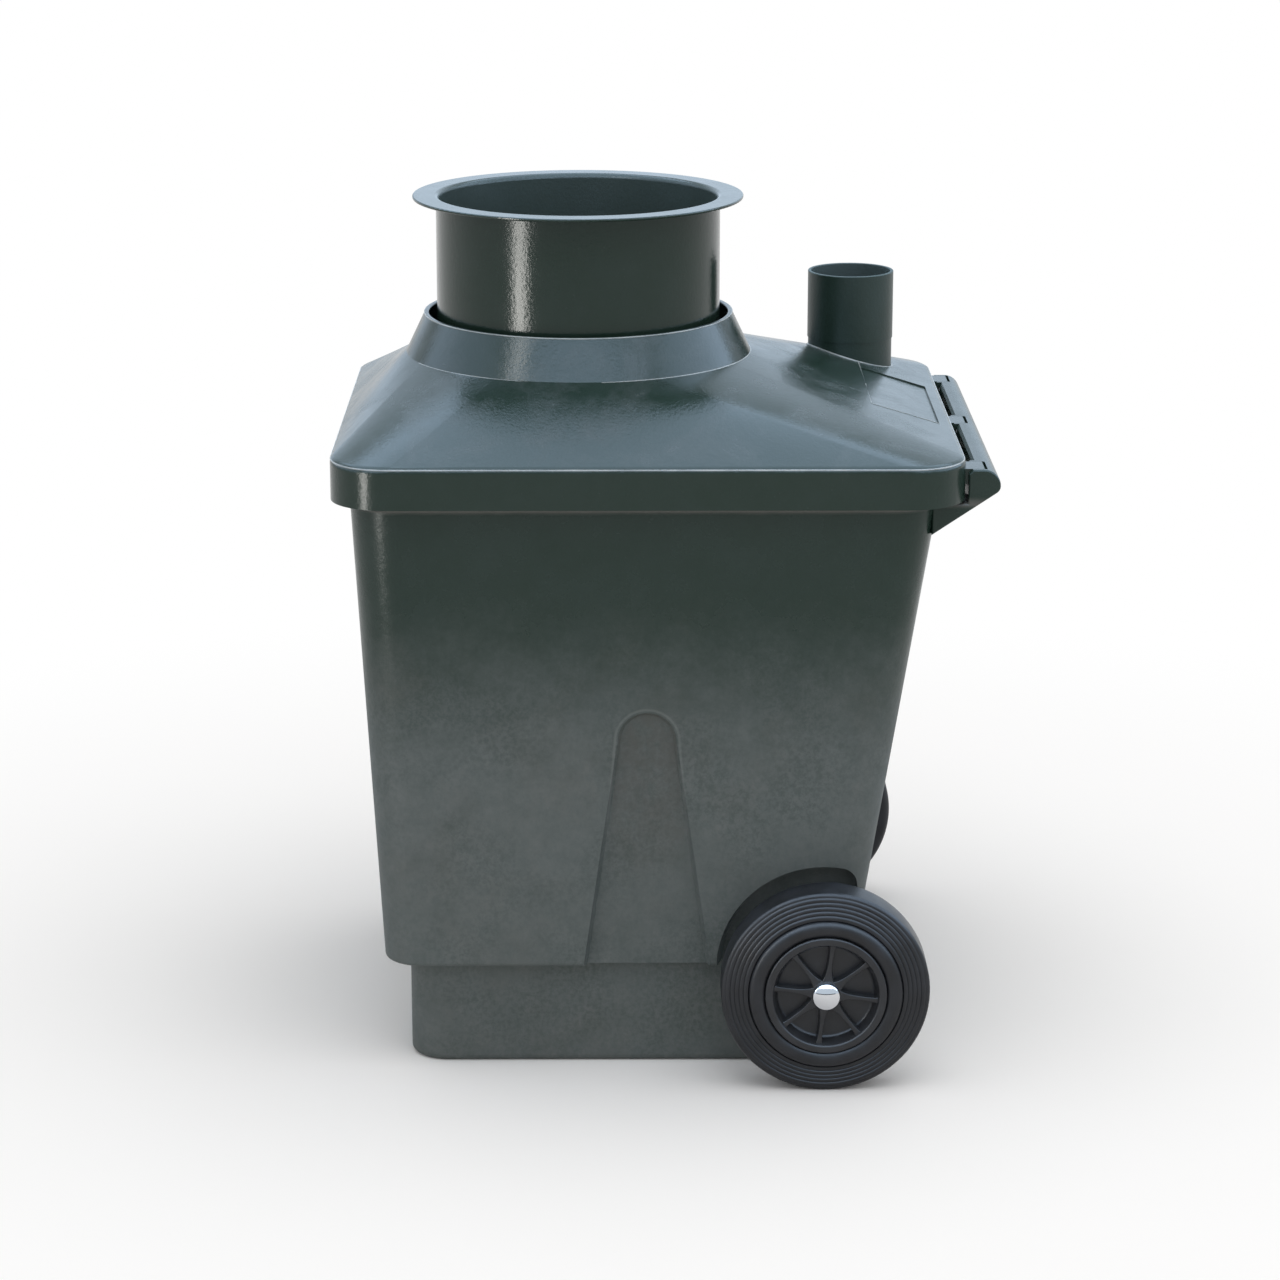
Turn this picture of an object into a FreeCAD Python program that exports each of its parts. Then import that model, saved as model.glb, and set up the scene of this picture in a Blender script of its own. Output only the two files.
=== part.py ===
"""Wheeled collecting container of a dry toilet, in millimetres.

The origin is the middle of the footprint box on the floor, +Z is up, the front faces -Y,
and the wheels and the pull handle are at +Y.
"""
import FreeCAD, Part
import math
import os

# Driving dimensions: fits and tools
cut_overrun = 2.0
seat_gap = 0.3
running_gap = 0.05
pressed_gap = 0.02

# Driving dimensions: lid
lid_length = 748.0
lid_width = 680.0
lid_corner_radius = 70.0
lid_wall = 5.0
lid_edge_radius = 9.0
skirt_height = 49.0
skirt_drop = 39.0
roof_rise = 77.0
roof_corner_arc = 36.0
collar_from_front = 290.0
collar_gap = 9.5
collar_draft = 23.5
collar_height = 49.0
collar_wall = 5.5
collar_lip_radius = 1.6
guide_ledge_thickness = 5.0
panel_width = 226.0
panel_length = 87.0
panel_depth = 2.0
panel_to_rear_edge = 18.0
seat_rib_width = 12.0

# Driving dimensions: container
container_height = 742.0
container_wall = 5.0
front_inset = 22.0
rear_inset = 31.0
side_inset = 25.0
front_taper = 32.0
rear_taper = 92.0
side_taper = 9.0
container_corner_radius = 58.0
container_foot_radius = 46.0
rim_height = 42.0
rim_stand_out = 3.0
rim_flare_height = 6.0
plinth_height = 133.0
plinth_inset = 29.0
plinth_edge_radius = 8.0
plinth_to_axle = 39.0
step_edge_radius = 5.0
lid_seal_height = 5.0
lid_seal_width = 9.0

# Driving dimensions: arched side panel
arch_to_axle = 213.0
arch_top_height = 457.0
arch_top_radius = 37.0
arch_to_pocket_gap = 6.0
arch_foot_depth = 14.0
arch_top_depth = 4.0
arch_draft = 6.0

# Driving dimensions: pull handle and hinge
handle_reach = 41.0
handle_end_inset = 55.0
handle_above_rim = 2.0
handle_slot_gap = 11.0
handle_block_gap = 3.0
handle_block_width = 52.0
handle_nose_height = 20.0
handle_nose_radius = 10.0
handle_under_drop = 79.0
handle_under_shelf = 5.0
handle_skin = 5.0
handle_block_edge = 5.0
handle_bar_edge = 3.0
handle_end_radius = 2.5
hinge_behind_lid = 14.5
hinge_below_top = 9.0
hinge_pin_radius = 4.5
lug_radius = 9.0
lug_width = 40.0
lug_side_gap = 0.5
lug_pocket_gap = 3.0
lug_swing_gap = 0.4
lid_swing = 100.0
hinge_pin_cover = 2.5

# Driving dimensions: wheels and axle
wheel_radius = 125.0
axle_to_lid_rear = 162.0
axle_radius = 10.0
tyre_width = 50.0
tyre_shoulder = 12.0
tyre_shoulder_wall_share = 0.33
tyre_shoulder_drop_share = 0.2
tyre_wall_height = 34.0
tyre_ring_width = 18.0
tyre_dish = 6.0
tyre_ring_bulge = 5.0
tyre_ring_groove = 2.0
tyre_groove_count = 5
tyre_groove_width = 2.6
tyre_groove_depth = 1.8
hub_rim_thickness = 10.0
hub_rim_dish = 12.0
hub_web_thickness = 7.0
hub_web_setback = 12.0
hub_boss_radius = 18.0
hub_boss_setback = 5.0
spoke_count = 8
spoke_root_width = 13.0
spoke_tip_width = 5.5
spoke_tip_setback = 5.0
spoke_turn = 7.0
spoke_root_gap = 2.5
hub_to_tyre_gap = 0.3
spacer_radius = 16.0
spacer_length = 48.0
boss_width = 26.0
boss_half_length = 24.0
boss_below_axle = 22.0
channel_above_axle = 14.0
cap_radius = 16.6
cap_depth = 14.0
cap_wall = 1.6
cap_dome = 4.0
cap_dome_shares = ((0.67, 0.33), (0.33, 0.0))
pocket_gap = 4.0
pocket_rise = 6.0
pocket_corner_radius = 22.0
pocket_draft = 8.0
pocket_rear_reach = 41.0

# Driving dimensions: drop tube and its seal
tube_radius = 174.5
tube_wall = 4.0
tube_length = 277.0
tube_stand = 144.0
flange_width = 28.5
flange_thickness = 3.6
flange_edge_radius = 1.2
flange_root_radius = 5.0
flange_mouth_radius = 6.0
tube_seal_width = 8.5
tube_seal_height = 8.0

# Driving dimensions: ventilation stub
vent_to_lid_rear = 109.0
vent_to_lid_side = 133.0
vent_radius = 55.0
vent_foot_step = 1.0
vent_wall = 3.2
vent_lip_radius = 1.1
vent_stand = 140.0
vent_shoulder_gap = 10.0
vent_socket_wall = 4.0
vent_socket_drop = 9.0
vent_socket_lip = 3.0
vent_seal_height = 2.5

# Driving dimensions: drainage floor and outlet
grate_height = 84.0
grate_thickness = 6.0
grate_side_gap = 2.0
grate_slot_width = 12.0
grate_slot_pitch_share = 0.66
grate_slot_rows = 9
grate_slot_columns = 6
grate_border = 26.0
grate_foot_radius = 16.0
grate_foot_inset = 60.0
outlet_height = 34.0
outlet_radius = 12.5
outlet_bore = 9.5
outlet_length = 46.0
outlet_barbs = 3
outlet_barb_rise = 1.4
outlet_barb_share = 0.8
outlet_flange_radius = 24.0
outlet_flange_thickness = 4.0
outlet_seal_thickness = 2.5
outlet_nut_radius = 23.0
outlet_nut_thickness = 8.0
outlet_thread_radius = 14.0
outlet_thread_end = 3.0
outlet_nut_sides = 6

# Places that follow from the sizes above
overall_length = lid_length + handle_reach
lid_front = -overall_length / 2
lid_rear = lid_front + lid_length
lid_half = lid_width / 2
seat_level = container_height + lid_seal_height + seat_gap
skirt_bottom = seat_level - skirt_drop
skirt_top = skirt_bottom + skirt_height
collar_base = skirt_top + roof_rise
collar_top = collar_base + collar_height
collar_y = lid_front + collar_from_front
tube_top = collar_top + tube_stand
rim_base = container_height - rim_height
axle_y = lid_rear - axle_to_lid_rear
hinge_y = lid_rear + hinge_behind_lid
handle_half_width = lid_half - handle_end_inset
handle_top = container_height + handle_above_rim
hinge_z = handle_top - hinge_below_top
collar_top_radius = tube_radius + collar_gap + collar_wall
collar_base_radius = collar_top_radius + collar_draft
flange_radius = tube_radius + flange_width
vent_side_offset = lid_half - vent_to_lid_side
vent_y = lid_rear - vent_to_lid_rear
vent_top = skirt_top + vent_stand
vent_floor = skirt_top - vent_socket_drop
vent_foot_radius = vent_radius - vent_foot_step
vent_bore = vent_foot_radius - vent_wall
plinth_side = lid_half - side_inset - side_taper - plinth_inset
plinth_rear = axle_y - plinth_to_axle
arch_y = axle_y - arch_to_axle
pocket_radius = wheel_radius + pocket_gap
pocket_centre = wheel_radius + pocket_rise
arch_half_foot = arch_to_axle - pocket_radius - arch_to_pocket_gap
tyre_ring_radius = wheel_radius - tyre_wall_height
tyre_bead_radius = tyre_ring_radius - tyre_ring_width
hub_rim_inner_radius = tyre_bead_radius - hub_rim_thickness
tyre_inner_face = plinth_side + spacer_length
tyre_outer_face = tyre_inner_face + tyre_width
wheel_face = tyre_outer_face + hub_rim_dish
right_angle = 90.0
full_turn = 360.0
quarters = 4
arc_points = 3
cubic_mm_per_cm = 1000


def point(x, y, z):
    """A place in the part's frame."""
    return FreeCAD.Vector(x, y, z)


X_AXIS = point(1, 0, 0)
Y_AXIS = point(0, 1, 0)
Z_AXIS = point(0, 0, 1)


def box(x_low, x_high, y_low, y_high, z_low, z_high):
    """A block between two corners."""
    return Part.makeBox(x_high - x_low, y_high - y_low, z_high - z_low, point(x_low, y_low, z_low))


def rod_x(radius, x_low, x_high, y, z):
    """A round bar along X."""
    return Part.makeCylinder(radius, x_high - x_low, point(x_low, y, z), X_AXIS)


def rod_z(radius, x, y, z_low, z_high):
    """A round bar along Z."""
    return Part.makeCylinder(radius, z_high - z_low, point(x, y, z_low), Z_AXIS)


def rectangle_edges(half_width, front, rear, radius, level):
    """The eight edges of a level rectangle with round corners, counter-clockwise from above."""
    centres = [
        (half_width - radius, front + radius),
        (half_width - radius, rear - radius),
        (radius - half_width, rear - radius),
        (radius - half_width, front + radius),
    ]
    corners = []
    for turn, (x, y) in enumerate(centres):
        bend = []
        for half_step in range(arc_points):
            angle = math.radians(right_angle * (turn - 1 + half_step / 2))
            bend.append(point(x + radius * math.cos(angle), y + radius * math.sin(angle), level))
        corners.append(bend)
    edges = []
    for turn, bend in enumerate(corners):
        edges.append(Part.Arc(*bend).toShape())
        edges.append(Part.makeLine(bend[-1], corners[(turn + 1) % len(corners)][0]))
    return edges


def ring_edges(radius, x, y, level, corner_arc):
    """A circle cut into eight arcs that face the corners and sides of such a rectangle."""
    half_corner = corner_arc / 2
    stops = []
    for turn in range(quarters):
        middle = right_angle * turn - right_angle / 2
        stops.append(middle - half_corner)
        stops.append(middle + half_corner)
    stops.append(stops[0] + full_turn)
    edges = []
    for start, end in zip(stops, stops[1:]):
        bend = []
        for angle in (start, (start + end) / 2, end):
            spin = math.radians(angle)
            bend.append(point(x + radius * math.cos(spin), y + radius * math.sin(spin), level))
        edges.append(Part.Arc(*bend).toShape())
    return edges


def ruled_solid(low_edges, high_edges):
    """A solid whose sides run straight from each low edge to the high edge above it."""
    faces = [Part.makeRuledSurface(low, high) for low, high in zip(low_edges, high_edges)]
    faces.append(Part.Face(Part.Wire(low_edges)))
    faces.append(Part.Face(Part.Wire(high_edges)))
    shell = Part.makeShell(faces)
    shell.sewShape()
    solid = Part.makeSolid(shell)
    if solid.Volume < 0:
        solid.reverse()
    return solid


def tub(low, high):
    """A tapered block between two level round-cornered rectangles."""
    return ruled_solid(rectangle_edges(*low), rectangle_edges(*high))


def prism_x(profile, x_low, x_high):
    """An outline of (y, z) points drawn along X."""
    corners = [point(x_low, y, z) for y, z in profile]
    face = Part.Face(Part.makePolygon(corners + corners[:1]))
    return face.extrude(X_AXIS * (x_high - x_low))


def turned(profile, centre, axis):
    """An outline of points revolved once about an axis."""
    face = Part.Face(Part.makePolygon(profile + profile[:1]))
    return face.revolve(centre, axis, full_turn)


def turned_z(profile, x, y):
    """An outline of (radius, height) points revolved about an upright axis."""
    return turned([point(x + r, y, z) for r, z in profile], point(x, y, 0), Z_AXIS)


def turned_x(profile, y, z):
    """An outline of (place along X, radius) points revolved about an axle."""
    return turned([point(x, y, z + r) for x, r in profile], point(0, y, z), X_AXIS)


def mirrored(shape):
    """The same shape on the other side of the middle plane."""
    return shape.mirror(point(0, 0, 0), X_AXIS)


def rounded(shape, radius, chosen):
    """The shape with the edges that the test picks rounded off."""
    return shape.makeFillet(radius, [edge for edge in shape.Edges if chosen(edge.BoundBox)])


# Container outline: each function gives a block that is grown inwards by the wall to make the hollow


def upper_outline(level, wall):
    """The container's section at a height, drawn in by the wall."""
    share = (level - plinth_height) / (rim_base - plinth_height)
    low_share = 1 - share
    half = lid_half - side_inset - side_taper * low_share
    front = lid_front + front_inset + front_taper * low_share
    rear = lid_rear - rear_inset - rear_taper * low_share
    radius = container_foot_radius + (container_corner_radius - container_foot_radius) * share
    return half - wall, front + wall, rear - wall, radius - wall, level


def plinth_outline(level, wall):
    """The plinth's section at a height, drawn in by the wall."""
    front = lid_front + front_inset + front_taper + plinth_inset
    return plinth_side - wall, front + wall, plinth_rear - wall, container_foot_radius - wall, level


def arch_edges(half_foot, top_radius, wall_offset_foot, wall_offset_top):
    """The arch drawn on a leaning plane that lies inside or outside the near side wall by the two offsets."""
    foot = plinth_height - cut_overrun
    spring = arch_top_height - arch_top_radius
    crown = spring + top_radius
    foot_x = upper_outline(plinth_height, 0)[0] + wall_offset_foot
    lean = (upper_outline(arch_top_height, 0)[0] + wall_offset_top - foot_x) / (arch_top_height - foot)
    spring_x = foot_x + lean * (spring - foot)
    corners = [
        point(foot_x, arch_y - half_foot, foot),
        point(foot_x, arch_y + half_foot, foot),
        point(spring_x, arch_y + top_radius, spring),
        point(spring_x, arch_y - top_radius, spring),
    ]
    top = point(foot_x + lean * (crown - foot), arch_y, crown)
    return [
        Part.makeLine(corners[0], corners[1]),
        Part.makeLine(corners[1], corners[2]),
        Part.Arc(corners[2], top, corners[3]).toShape(),
        Part.makeLine(corners[3], corners[0]),
    ]


def arch_block(side_grow):
    """The arched side panel that is pressed into the near side wall, with sloping flanks and tapering depth."""
    half_foot = arch_half_foot + side_grow
    top_radius = arch_top_radius + side_grow
    floor = arch_edges(
        half_foot - arch_draft, top_radius - arch_draft, -arch_foot_depth - side_grow, -arch_top_depth - side_grow)
    mouth = arch_edges(half_foot, top_radius, cut_overrun, cut_overrun)
    return ruled_solid(floor, mouth)


def wheel_pocket(side_grow):
    """The round pocket in the near side wall behind the wheel, with a sloping flank, cut off straight at the rear."""
    low = plinth_side - side_grow
    outside = lid_half
    radius = pocket_radius + side_grow
    mouth_radius = radius + pocket_draft * (outside - low) / (plinth_inset + side_grow)
    middle = point(low, axle_y, pocket_centre)
    drum = Part.makeCone(radius - pocket_draft, mouth_radius - pocket_draft, outside - low, middle, X_AXIS)
    rear = axle_y + pocket_rear_reach + side_grow
    keep = box(0, outside, axle_y - mouth_radius, rear, 0, pocket_centre + mouth_radius)
    return rounded(
        drum.common(keep), pocket_corner_radius + side_grow,
        lambda b: b.ZMin > pocket_centre and b.YMin > rear - cut_overrun,
    )


def axle_channel(grow):
    """The channel under the rear of the container where the axle runs across."""
    roof = wheel_radius + channel_above_axle + grow
    return box(-lid_half, lid_half, plinth_rear - grow, lid_rear, -cut_overrun, roof)


def container_block(wall):
    """The whole container as a block, drawn in by the wall."""
    bottom = plinth_height + wall if wall else plinth_height
    top = rim_base + cut_overrun
    upper = tub(upper_outline(bottom, wall), upper_outline(top, wall))
    foot = tub(plinth_outline(wall, wall), plinth_outline(bottom + cut_overrun, wall))
    if not wall:
        upper = rounded(upper, step_edge_radius, lambda b: b.ZMax < bottom + cut_overrun)
        foot = rounded(foot, plinth_edge_radius, lambda b: b.ZMax < cut_overrun)
    block = upper.fuse(foot)
    near = [arch_block(wall), wheel_pocket(wall)]
    for cutter in near + [mirrored(shape) for shape in near] + [axle_channel(wall)]:
        block = block.cut(cutter)
    return block


def rim_ring():
    """The upright rim that the lid drops over, with its bead below the skirt."""
    half, front, rear, radius, level = upper_outline(rim_base, 0)
    stand = rim_stand_out
    outer_flare = (half + stand, front - stand, rear + stand, radius + stand, rim_base + rim_flare_height)
    outer_high = outer_flare[:-1] + (container_height,)
    flare = tub((half, front, rear, radius, rim_base), outer_flare)
    wall = container_wall
    inner_low = (half - wall, front + wall, rear - wall, radius - wall, rim_base - cut_overrun)
    inner_high = inner_low[:-1] + (container_height + cut_overrun,)
    return flare.fuse(tub(outer_flare, outer_high)).cut(tub(inner_low, inner_high))


# Pull handle with the hinge cheeks


def handle_nose():
    """The places that the handle's side outline is drawn through: wall, underside and round nose."""
    nose = lid_rear + handle_reach
    under = handle_top - handle_under_drop
    wall_y = upper_outline(under, 0)[2] - container_wall / 2
    centre_y = nose - handle_nose_radius
    centre_z = handle_top - handle_nose_height
    rise = math.atan2(centre_z - under, centre_y - wall_y)
    reach = math.hypot(centre_z - under, centre_y - wall_y)
    slope = rise - math.asin(handle_nose_radius / reach)
    touch = slope - math.radians(right_angle)
    places = {"wall": (wall_y, under), "slope": slope, "tip": (nose, centre_z)}
    for name, angle in (("low", touch), ("low_mid", touch / 2)):
        places[name] = (
            centre_y + handle_nose_radius * math.cos(angle),
            centre_z + handle_nose_radius * math.sin(angle),
        )
    shoulder = nose - handle_nose_height
    half_bend = math.radians(right_angle / 2)
    places["crown"] = (
        shoulder + handle_nose_height * math.cos(half_bend),
        centre_z + handle_nose_height * math.sin(half_bend),
    )
    places["back_top"] = (shoulder, handle_top)
    return places


def handle_outline(block):
    """The closed outline of a hinge block, or of the bar between the blocks, in the (y, z) plane."""
    places = handle_nose()
    wall_y, under = places["wall"]
    shelf = skirt_bottom - handle_under_shelf
    front = lid_rear + (handle_block_gap if block else handle_slot_gap)
    bar_bottom = under + (front - wall_y) * math.tan(places["slope"])
    start = [(wall_y, shelf), (wall_y, under)] if block else [(front, bar_bottom)]
    edge = handle_block_edge if block else handle_bar_edge
    closing = [places["back_top"], (front + edge, handle_top), (front, handle_top - edge)]
    if block:
        closing.append((front, shelf))
    closing.append(start[0])
    edges = []

    def at(place):
        return point(0, place[0], place[1])

    for run in (start + [places["low"]], closing):
        for first, second in zip(run, run[1:]):
            edges.append(Part.makeLine(at(first), at(second)))
    edges.append(Part.Arc(at(places["low"]), at(places["low_mid"]), at(places["tip"])).toShape())
    edges.append(Part.Arc(at(places["tip"]), at(places["crown"]), at(places["back_top"])).toShape())
    return Part.Face(Part.Wire(Part.__sortEdges__(edges)))


def block_middles():
    """The places along X of the three hinge blocks."""
    side = handle_half_width - handle_block_width / 2
    return [-side, 0, side]


def pin_spans():
    """Where each hinge pin starts and ends along X: the outer two stop short of the handle's ends."""
    half = handle_block_width / 2
    left, middle, right = block_middles()
    return [
        (left - half + hinge_pin_cover, left + half),
        (middle - half, middle + half),
        (right - half, right + half - hinge_pin_cover),
    ]


def bar_hollow():
    """The two hollows that leave the bar between the blocks as a skin, open below."""
    places = handle_nose()
    front = lid_rear + handle_slot_gap + handle_skin
    back, middle = places["tip"][0] - handle_skin, places["tip"][1]
    shoulder, top = places["back_top"][0], handle_top - handle_skin
    low = places["wall"][1]
    profile = [(front, low), (back, low), (back, middle), (shoulder, top), (front, top)]
    inner = handle_block_width / 2
    outer = handle_half_width - handle_block_width
    return prism_x(profile, inner, outer).fuse(prism_x(profile, -outer, -inner))


def handle():
    """The moulded pull bar with its three hinge blocks, before the lug pockets."""
    ends = handle_half_width - cut_overrun
    bar = handle_outline(False)
    bar.translate(point(-handle_half_width, 0, 0))
    shape = bar.extrude(X_AXIS * (handle_half_width + handle_half_width))
    for middle in block_middles():
        block = handle_outline(True)
        block.translate(point(middle - handle_block_width / 2, 0, 0))
        shape = shape.fuse(block.extrude(X_AXIS * handle_block_width))
    shape = shape.removeSplitter()
    shape = rounded(shape, handle_end_radius, lambda b: b.XMin > ends or b.XMax < -ends)
    shape = shape.cut(bar_hollow())
    pocket_half = lug_width / 2 + lug_side_gap
    reach = lug_radius + lug_pocket_gap
    past_upright = math.radians(lid_swing - right_angle)
    lip = lug_radius * (1 + math.sin(past_upright)) / math.cos(past_upright) + seat_gap
    top = handle_top + cut_overrun
    for middle in block_middles():
        low = middle - pocket_half
        high = middle + pocket_half
        way_in = box(low, high, lid_rear, hinge_y, hinge_z - reach, top)
        way_out = box(low, high, hinge_y - seat_gap, hinge_y + lip, hinge_z, top)
        shape = shape.cut(way_in.fuse([way_out, rod_x(reach, low, high, hinge_y, hinge_z)]))
    shape = shape.removeSplitter()
    for low, high in pin_spans():
        shape = shape.cut(rod_x(hinge_pin_radius + pressed_gap, low, high, hinge_y, hinge_z))
    return shape


def axle_bosses():
    """The two moulded blocks under the container that hold the axle."""
    underside = max(plinth_height, wheel_radius + channel_above_axle)
    roof = underside + container_wall / 2
    bosses = []
    for side in (-1, 1):
        outer = side * plinth_side
        inner = side * (plinth_side - boss_width)
        rear = axle_y + boss_half_length
        low = wheel_radius - boss_below_axle
        front = plinth_rear - container_wall / 2
        bosses.append(box(min(outer, inner), max(outer, inner), front, rear, low, roof))
    return bosses


def make_container():
    """The moulded container with its rim, handle and axle blocks."""
    shape = container_block(0)
    shape = shape.fuse([rim_ring(), handle()] + axle_bosses())
    hollow = container_block(container_wall)
    shape = shape.cut(hollow)
    shape = shape.cut(rod_x(axle_radius + pressed_gap, -lid_half, lid_half, axle_y, wheel_radius))
    outlet = Part.makeCylinder(
        outlet_thread_radius + seat_gap, plinth_to_axle,
        point(0, plinth_rear - plinth_to_axle / 2, outlet_height), Y_AXIS,
    )
    return shape.cut(outlet)


def make_lid_seal():
    """The soft strip that lies on the container's rim."""
    half, front, rear, radius, level = upper_outline(rim_base, 0)
    stand = rim_stand_out - (rim_stand_out + container_wall - lid_seal_width) / 2
    outer = (half + stand, front - stand, rear + stand, radius + stand)
    inset = stand - lid_seal_width
    inner = (half + inset, front - inset, rear + inset, radius + inset)
    top = container_height + lid_seal_height
    over = cut_overrun
    ring = tub(outer + (container_height,), outer + (top,))
    return ring.cut(tub(inner + (container_height - over,), inner + (top + over,)))


# Lid


def lid_outline(inset, level):
    """The lid's outer rectangle at a height, drawn in by the inset."""
    return lid_half - inset, lid_front + inset, lid_rear - inset, lid_corner_radius - inset, level


def roof_block(inset, drop):
    """The hipped roof that runs from the lid's rectangle up to the round collar."""
    low = rectangle_edges(*lid_outline(inset, skirt_top - drop))
    high = ring_edges(collar_base_radius - inset, 0, collar_y, collar_base - drop, roof_corner_arc)
    return ruled_solid(low, high)


def seat_rib():
    """The level rib inside the lid that presses on the rim seal."""
    half, front, rear, radius, level = upper_outline(rim_base, 0)
    grow = rim_stand_out
    outer = (half + grow, front - grow, rear + grow, radius + grow)
    inset = grow - seat_rib_width
    inner = (half + inset, front - inset, rear + inset, radius + inset)
    top = skirt_top + roof_rise
    ring = tub(outer + (seat_level,), outer + (top,))
    ring = ring.cut(tub(inner + (seat_level - cut_overrun,), inner + (top + cut_overrun,)))
    return ring.common(roof_block(lid_wall / 2, lid_wall / 2).fuse(skirt_block(lid_wall / 2, 0)))


def skirt_block(inset, drop):
    """The upright skirt as a block, drawn in by the inset and shortened at the top."""
    low = lid_outline(inset, skirt_bottom)
    return tub(low, lid_outline(inset, skirt_top - drop))


def vent_socket():
    """The socket sleeve below the roof that takes the ventilation stub."""
    radius = vent_radius + vent_socket_wall
    sleeve = rod_z(radius, -vent_side_offset, vent_y, vent_floor, collar_base)
    return sleeve.common(roof_block(lid_wall / 2, lid_wall / 2).fuse(skirt_block(lid_wall / 2, 0)))


def label_panel():
    """The shallow blank panel pressed into the rear slope of the roof."""
    rear_run = lid_rear - collar_y - collar_base_radius
    slope = math.degrees(math.atan2(roof_rise, rear_run))
    corner = point(-panel_width / 2, -panel_length, -panel_depth)
    cutter = Part.makeBox(panel_width, panel_length, roof_rise, corner)
    cutter.rotate(point(0, 0, 0), X_AXIS, -slope)
    start = lid_rear - panel_to_rear_edge
    cutter.translate(point(0, start, skirt_top + panel_to_rear_edge * roof_rise / rear_run))
    return cutter


def hinge_lug(middle):
    """One lug on the rear of the skirt that turns on a hinge pin."""
    low = middle - lug_width / 2
    high = middle + lug_width / 2
    swing = lug_radius + lug_pocket_gap - lug_swing_gap
    top = hinge_z + lug_radius
    eye = rod_x(swing, low, high, hinge_y, hinge_z)
    eye = eye.common(box(low, high, hinge_y, hinge_y + swing, hinge_z - swing, top))
    arm = box(low, high, lid_rear - lid_wall / 2, hinge_y, hinge_z - lug_radius, top)
    return eye.fuse(arm)


def make_lid():
    """The roof-shaped lid with skirt, collar, guide ledge, vent socket and hinge lugs."""
    outside = skirt_block(0, 0).fuse(roof_block(0, 0)).removeSplitter()
    outside = rounded(
        outside, lid_edge_radius,
        lambda b: abs(b.ZMin - skirt_top) < lid_wall / 2 and abs(b.ZMax - skirt_top) < lid_wall / 2,
    )
    inside = skirt_block(lid_wall, lid_wall).fuse(roof_block(lid_wall, lid_wall))
    below = tub(lid_outline(lid_wall, skirt_bottom - cut_overrun), lid_outline(lid_wall, skirt_bottom))
    shape = outside.cut(inside.fuse(below))
    collar = turned_z(
        [
            (collar_base_radius - collar_wall - lid_wall, collar_base - lid_wall),
            (collar_base_radius - lid_wall / 2, collar_base - lid_wall),
            (collar_base_radius, collar_base),
            (collar_top_radius, collar_top),
            (collar_top_radius - collar_wall, collar_top),
            (collar_base_radius - collar_wall - lid_wall, collar_base),
        ],
        0, collar_y,
    )
    collar = rounded(collar, collar_lip_radius, lambda b: b.ZMin > collar_top - cut_overrun)
    ledge_radius = tube_radius + seat_gap + tube_seal_width / 2
    ledge_low = collar_base - guide_ledge_thickness
    ledge = rod_z(collar_base_radius - collar_wall / 2, 0, collar_y, ledge_low, collar_base)
    opening = rod_z(collar_base_radius - collar_wall - lid_wall, 0, collar_y, skirt_bottom, collar_top)
    shape = shape.cut(opening)
    shape = shape.fuse([collar, ledge, seat_rib(), vent_socket()])
    shape = shape.cut(rod_z(ledge_radius, 0, collar_y, skirt_bottom, collar_top))
    shape = shape.cut(label_panel())
    shape = shape.cut(rod_z(vent_bore, -vent_side_offset, vent_y, vent_floor - cut_overrun, collar_top))
    socket = vent_foot_radius + pressed_gap
    shape = shape.cut(rod_z(socket, -vent_side_offset, vent_y, vent_floor + vent_socket_lip, collar_top))
    shape = shape.fuse([hinge_lug(middle) for middle in block_middles()])
    pin_hole = rod_x(hinge_pin_radius + running_gap, -lid_half, lid_half, hinge_y, hinge_z)
    return shape.cut(pin_hole).removeSplitter()


def make_hinge_pins():
    """Three plain pins, one through each hinge block."""
    return [rod_x(hinge_pin_radius, low, high, hinge_y, hinge_z) for low, high in pin_spans()]


def make_drop_tube():
    """The flanged drop tube that slides in the collar."""
    bottom = tube_top - tube_length
    bore = tube_radius - tube_wall
    flange_low = tube_top - flange_thickness
    tube = turned_z(
        [
            (bore, bottom),
            (tube_radius, bottom),
            (tube_radius, flange_low),
            (flange_radius, flange_low),
            (flange_radius, tube_top),
            (bore, tube_top),
        ],
        0, collar_y,
    )
    lip = flange_edge_radius

    def ring(radius, level):
        return lambda b: abs(b.XMax - radius) < lip and abs(b.ZMin - level) < lip and abs(b.ZMax - level) < lip

    for radius, level, rounding in (
        (flange_radius, tube_top, lip),
        (flange_radius, flange_low, lip),
        (bore, tube_top, flange_mouth_radius),
        (tube_radius, flange_low, flange_root_radius),
    ):
        tube = rounded(tube, rounding, ring(radius, level))
    return tube


def make_tube_seal():
    """The rubber ring on the guide ledge that holds the drop tube by friction."""
    inner = tube_radius + seat_gap
    top = collar_base + tube_seal_height
    ring = rod_z(inner + tube_seal_width, 0, collar_y, collar_base, top)
    return ring.cut(rod_z(inner, 0, collar_y, collar_base - cut_overrun, top + cut_overrun))


def vent_shoulder():
    """The height of the stub's shoulder, just above the highest roof line that it stands on."""
    away_x, away_y = vent_side_offset, vent_y - collar_y
    reach = math.hypot(away_x, away_y)
    edge_reach = reach * (lid_rear - collar_y) / away_y
    fall_share = (reach - vent_radius - collar_base_radius) / (edge_reach - collar_base_radius)
    return collar_base - roof_rise * fall_share + vent_shoulder_gap


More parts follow.
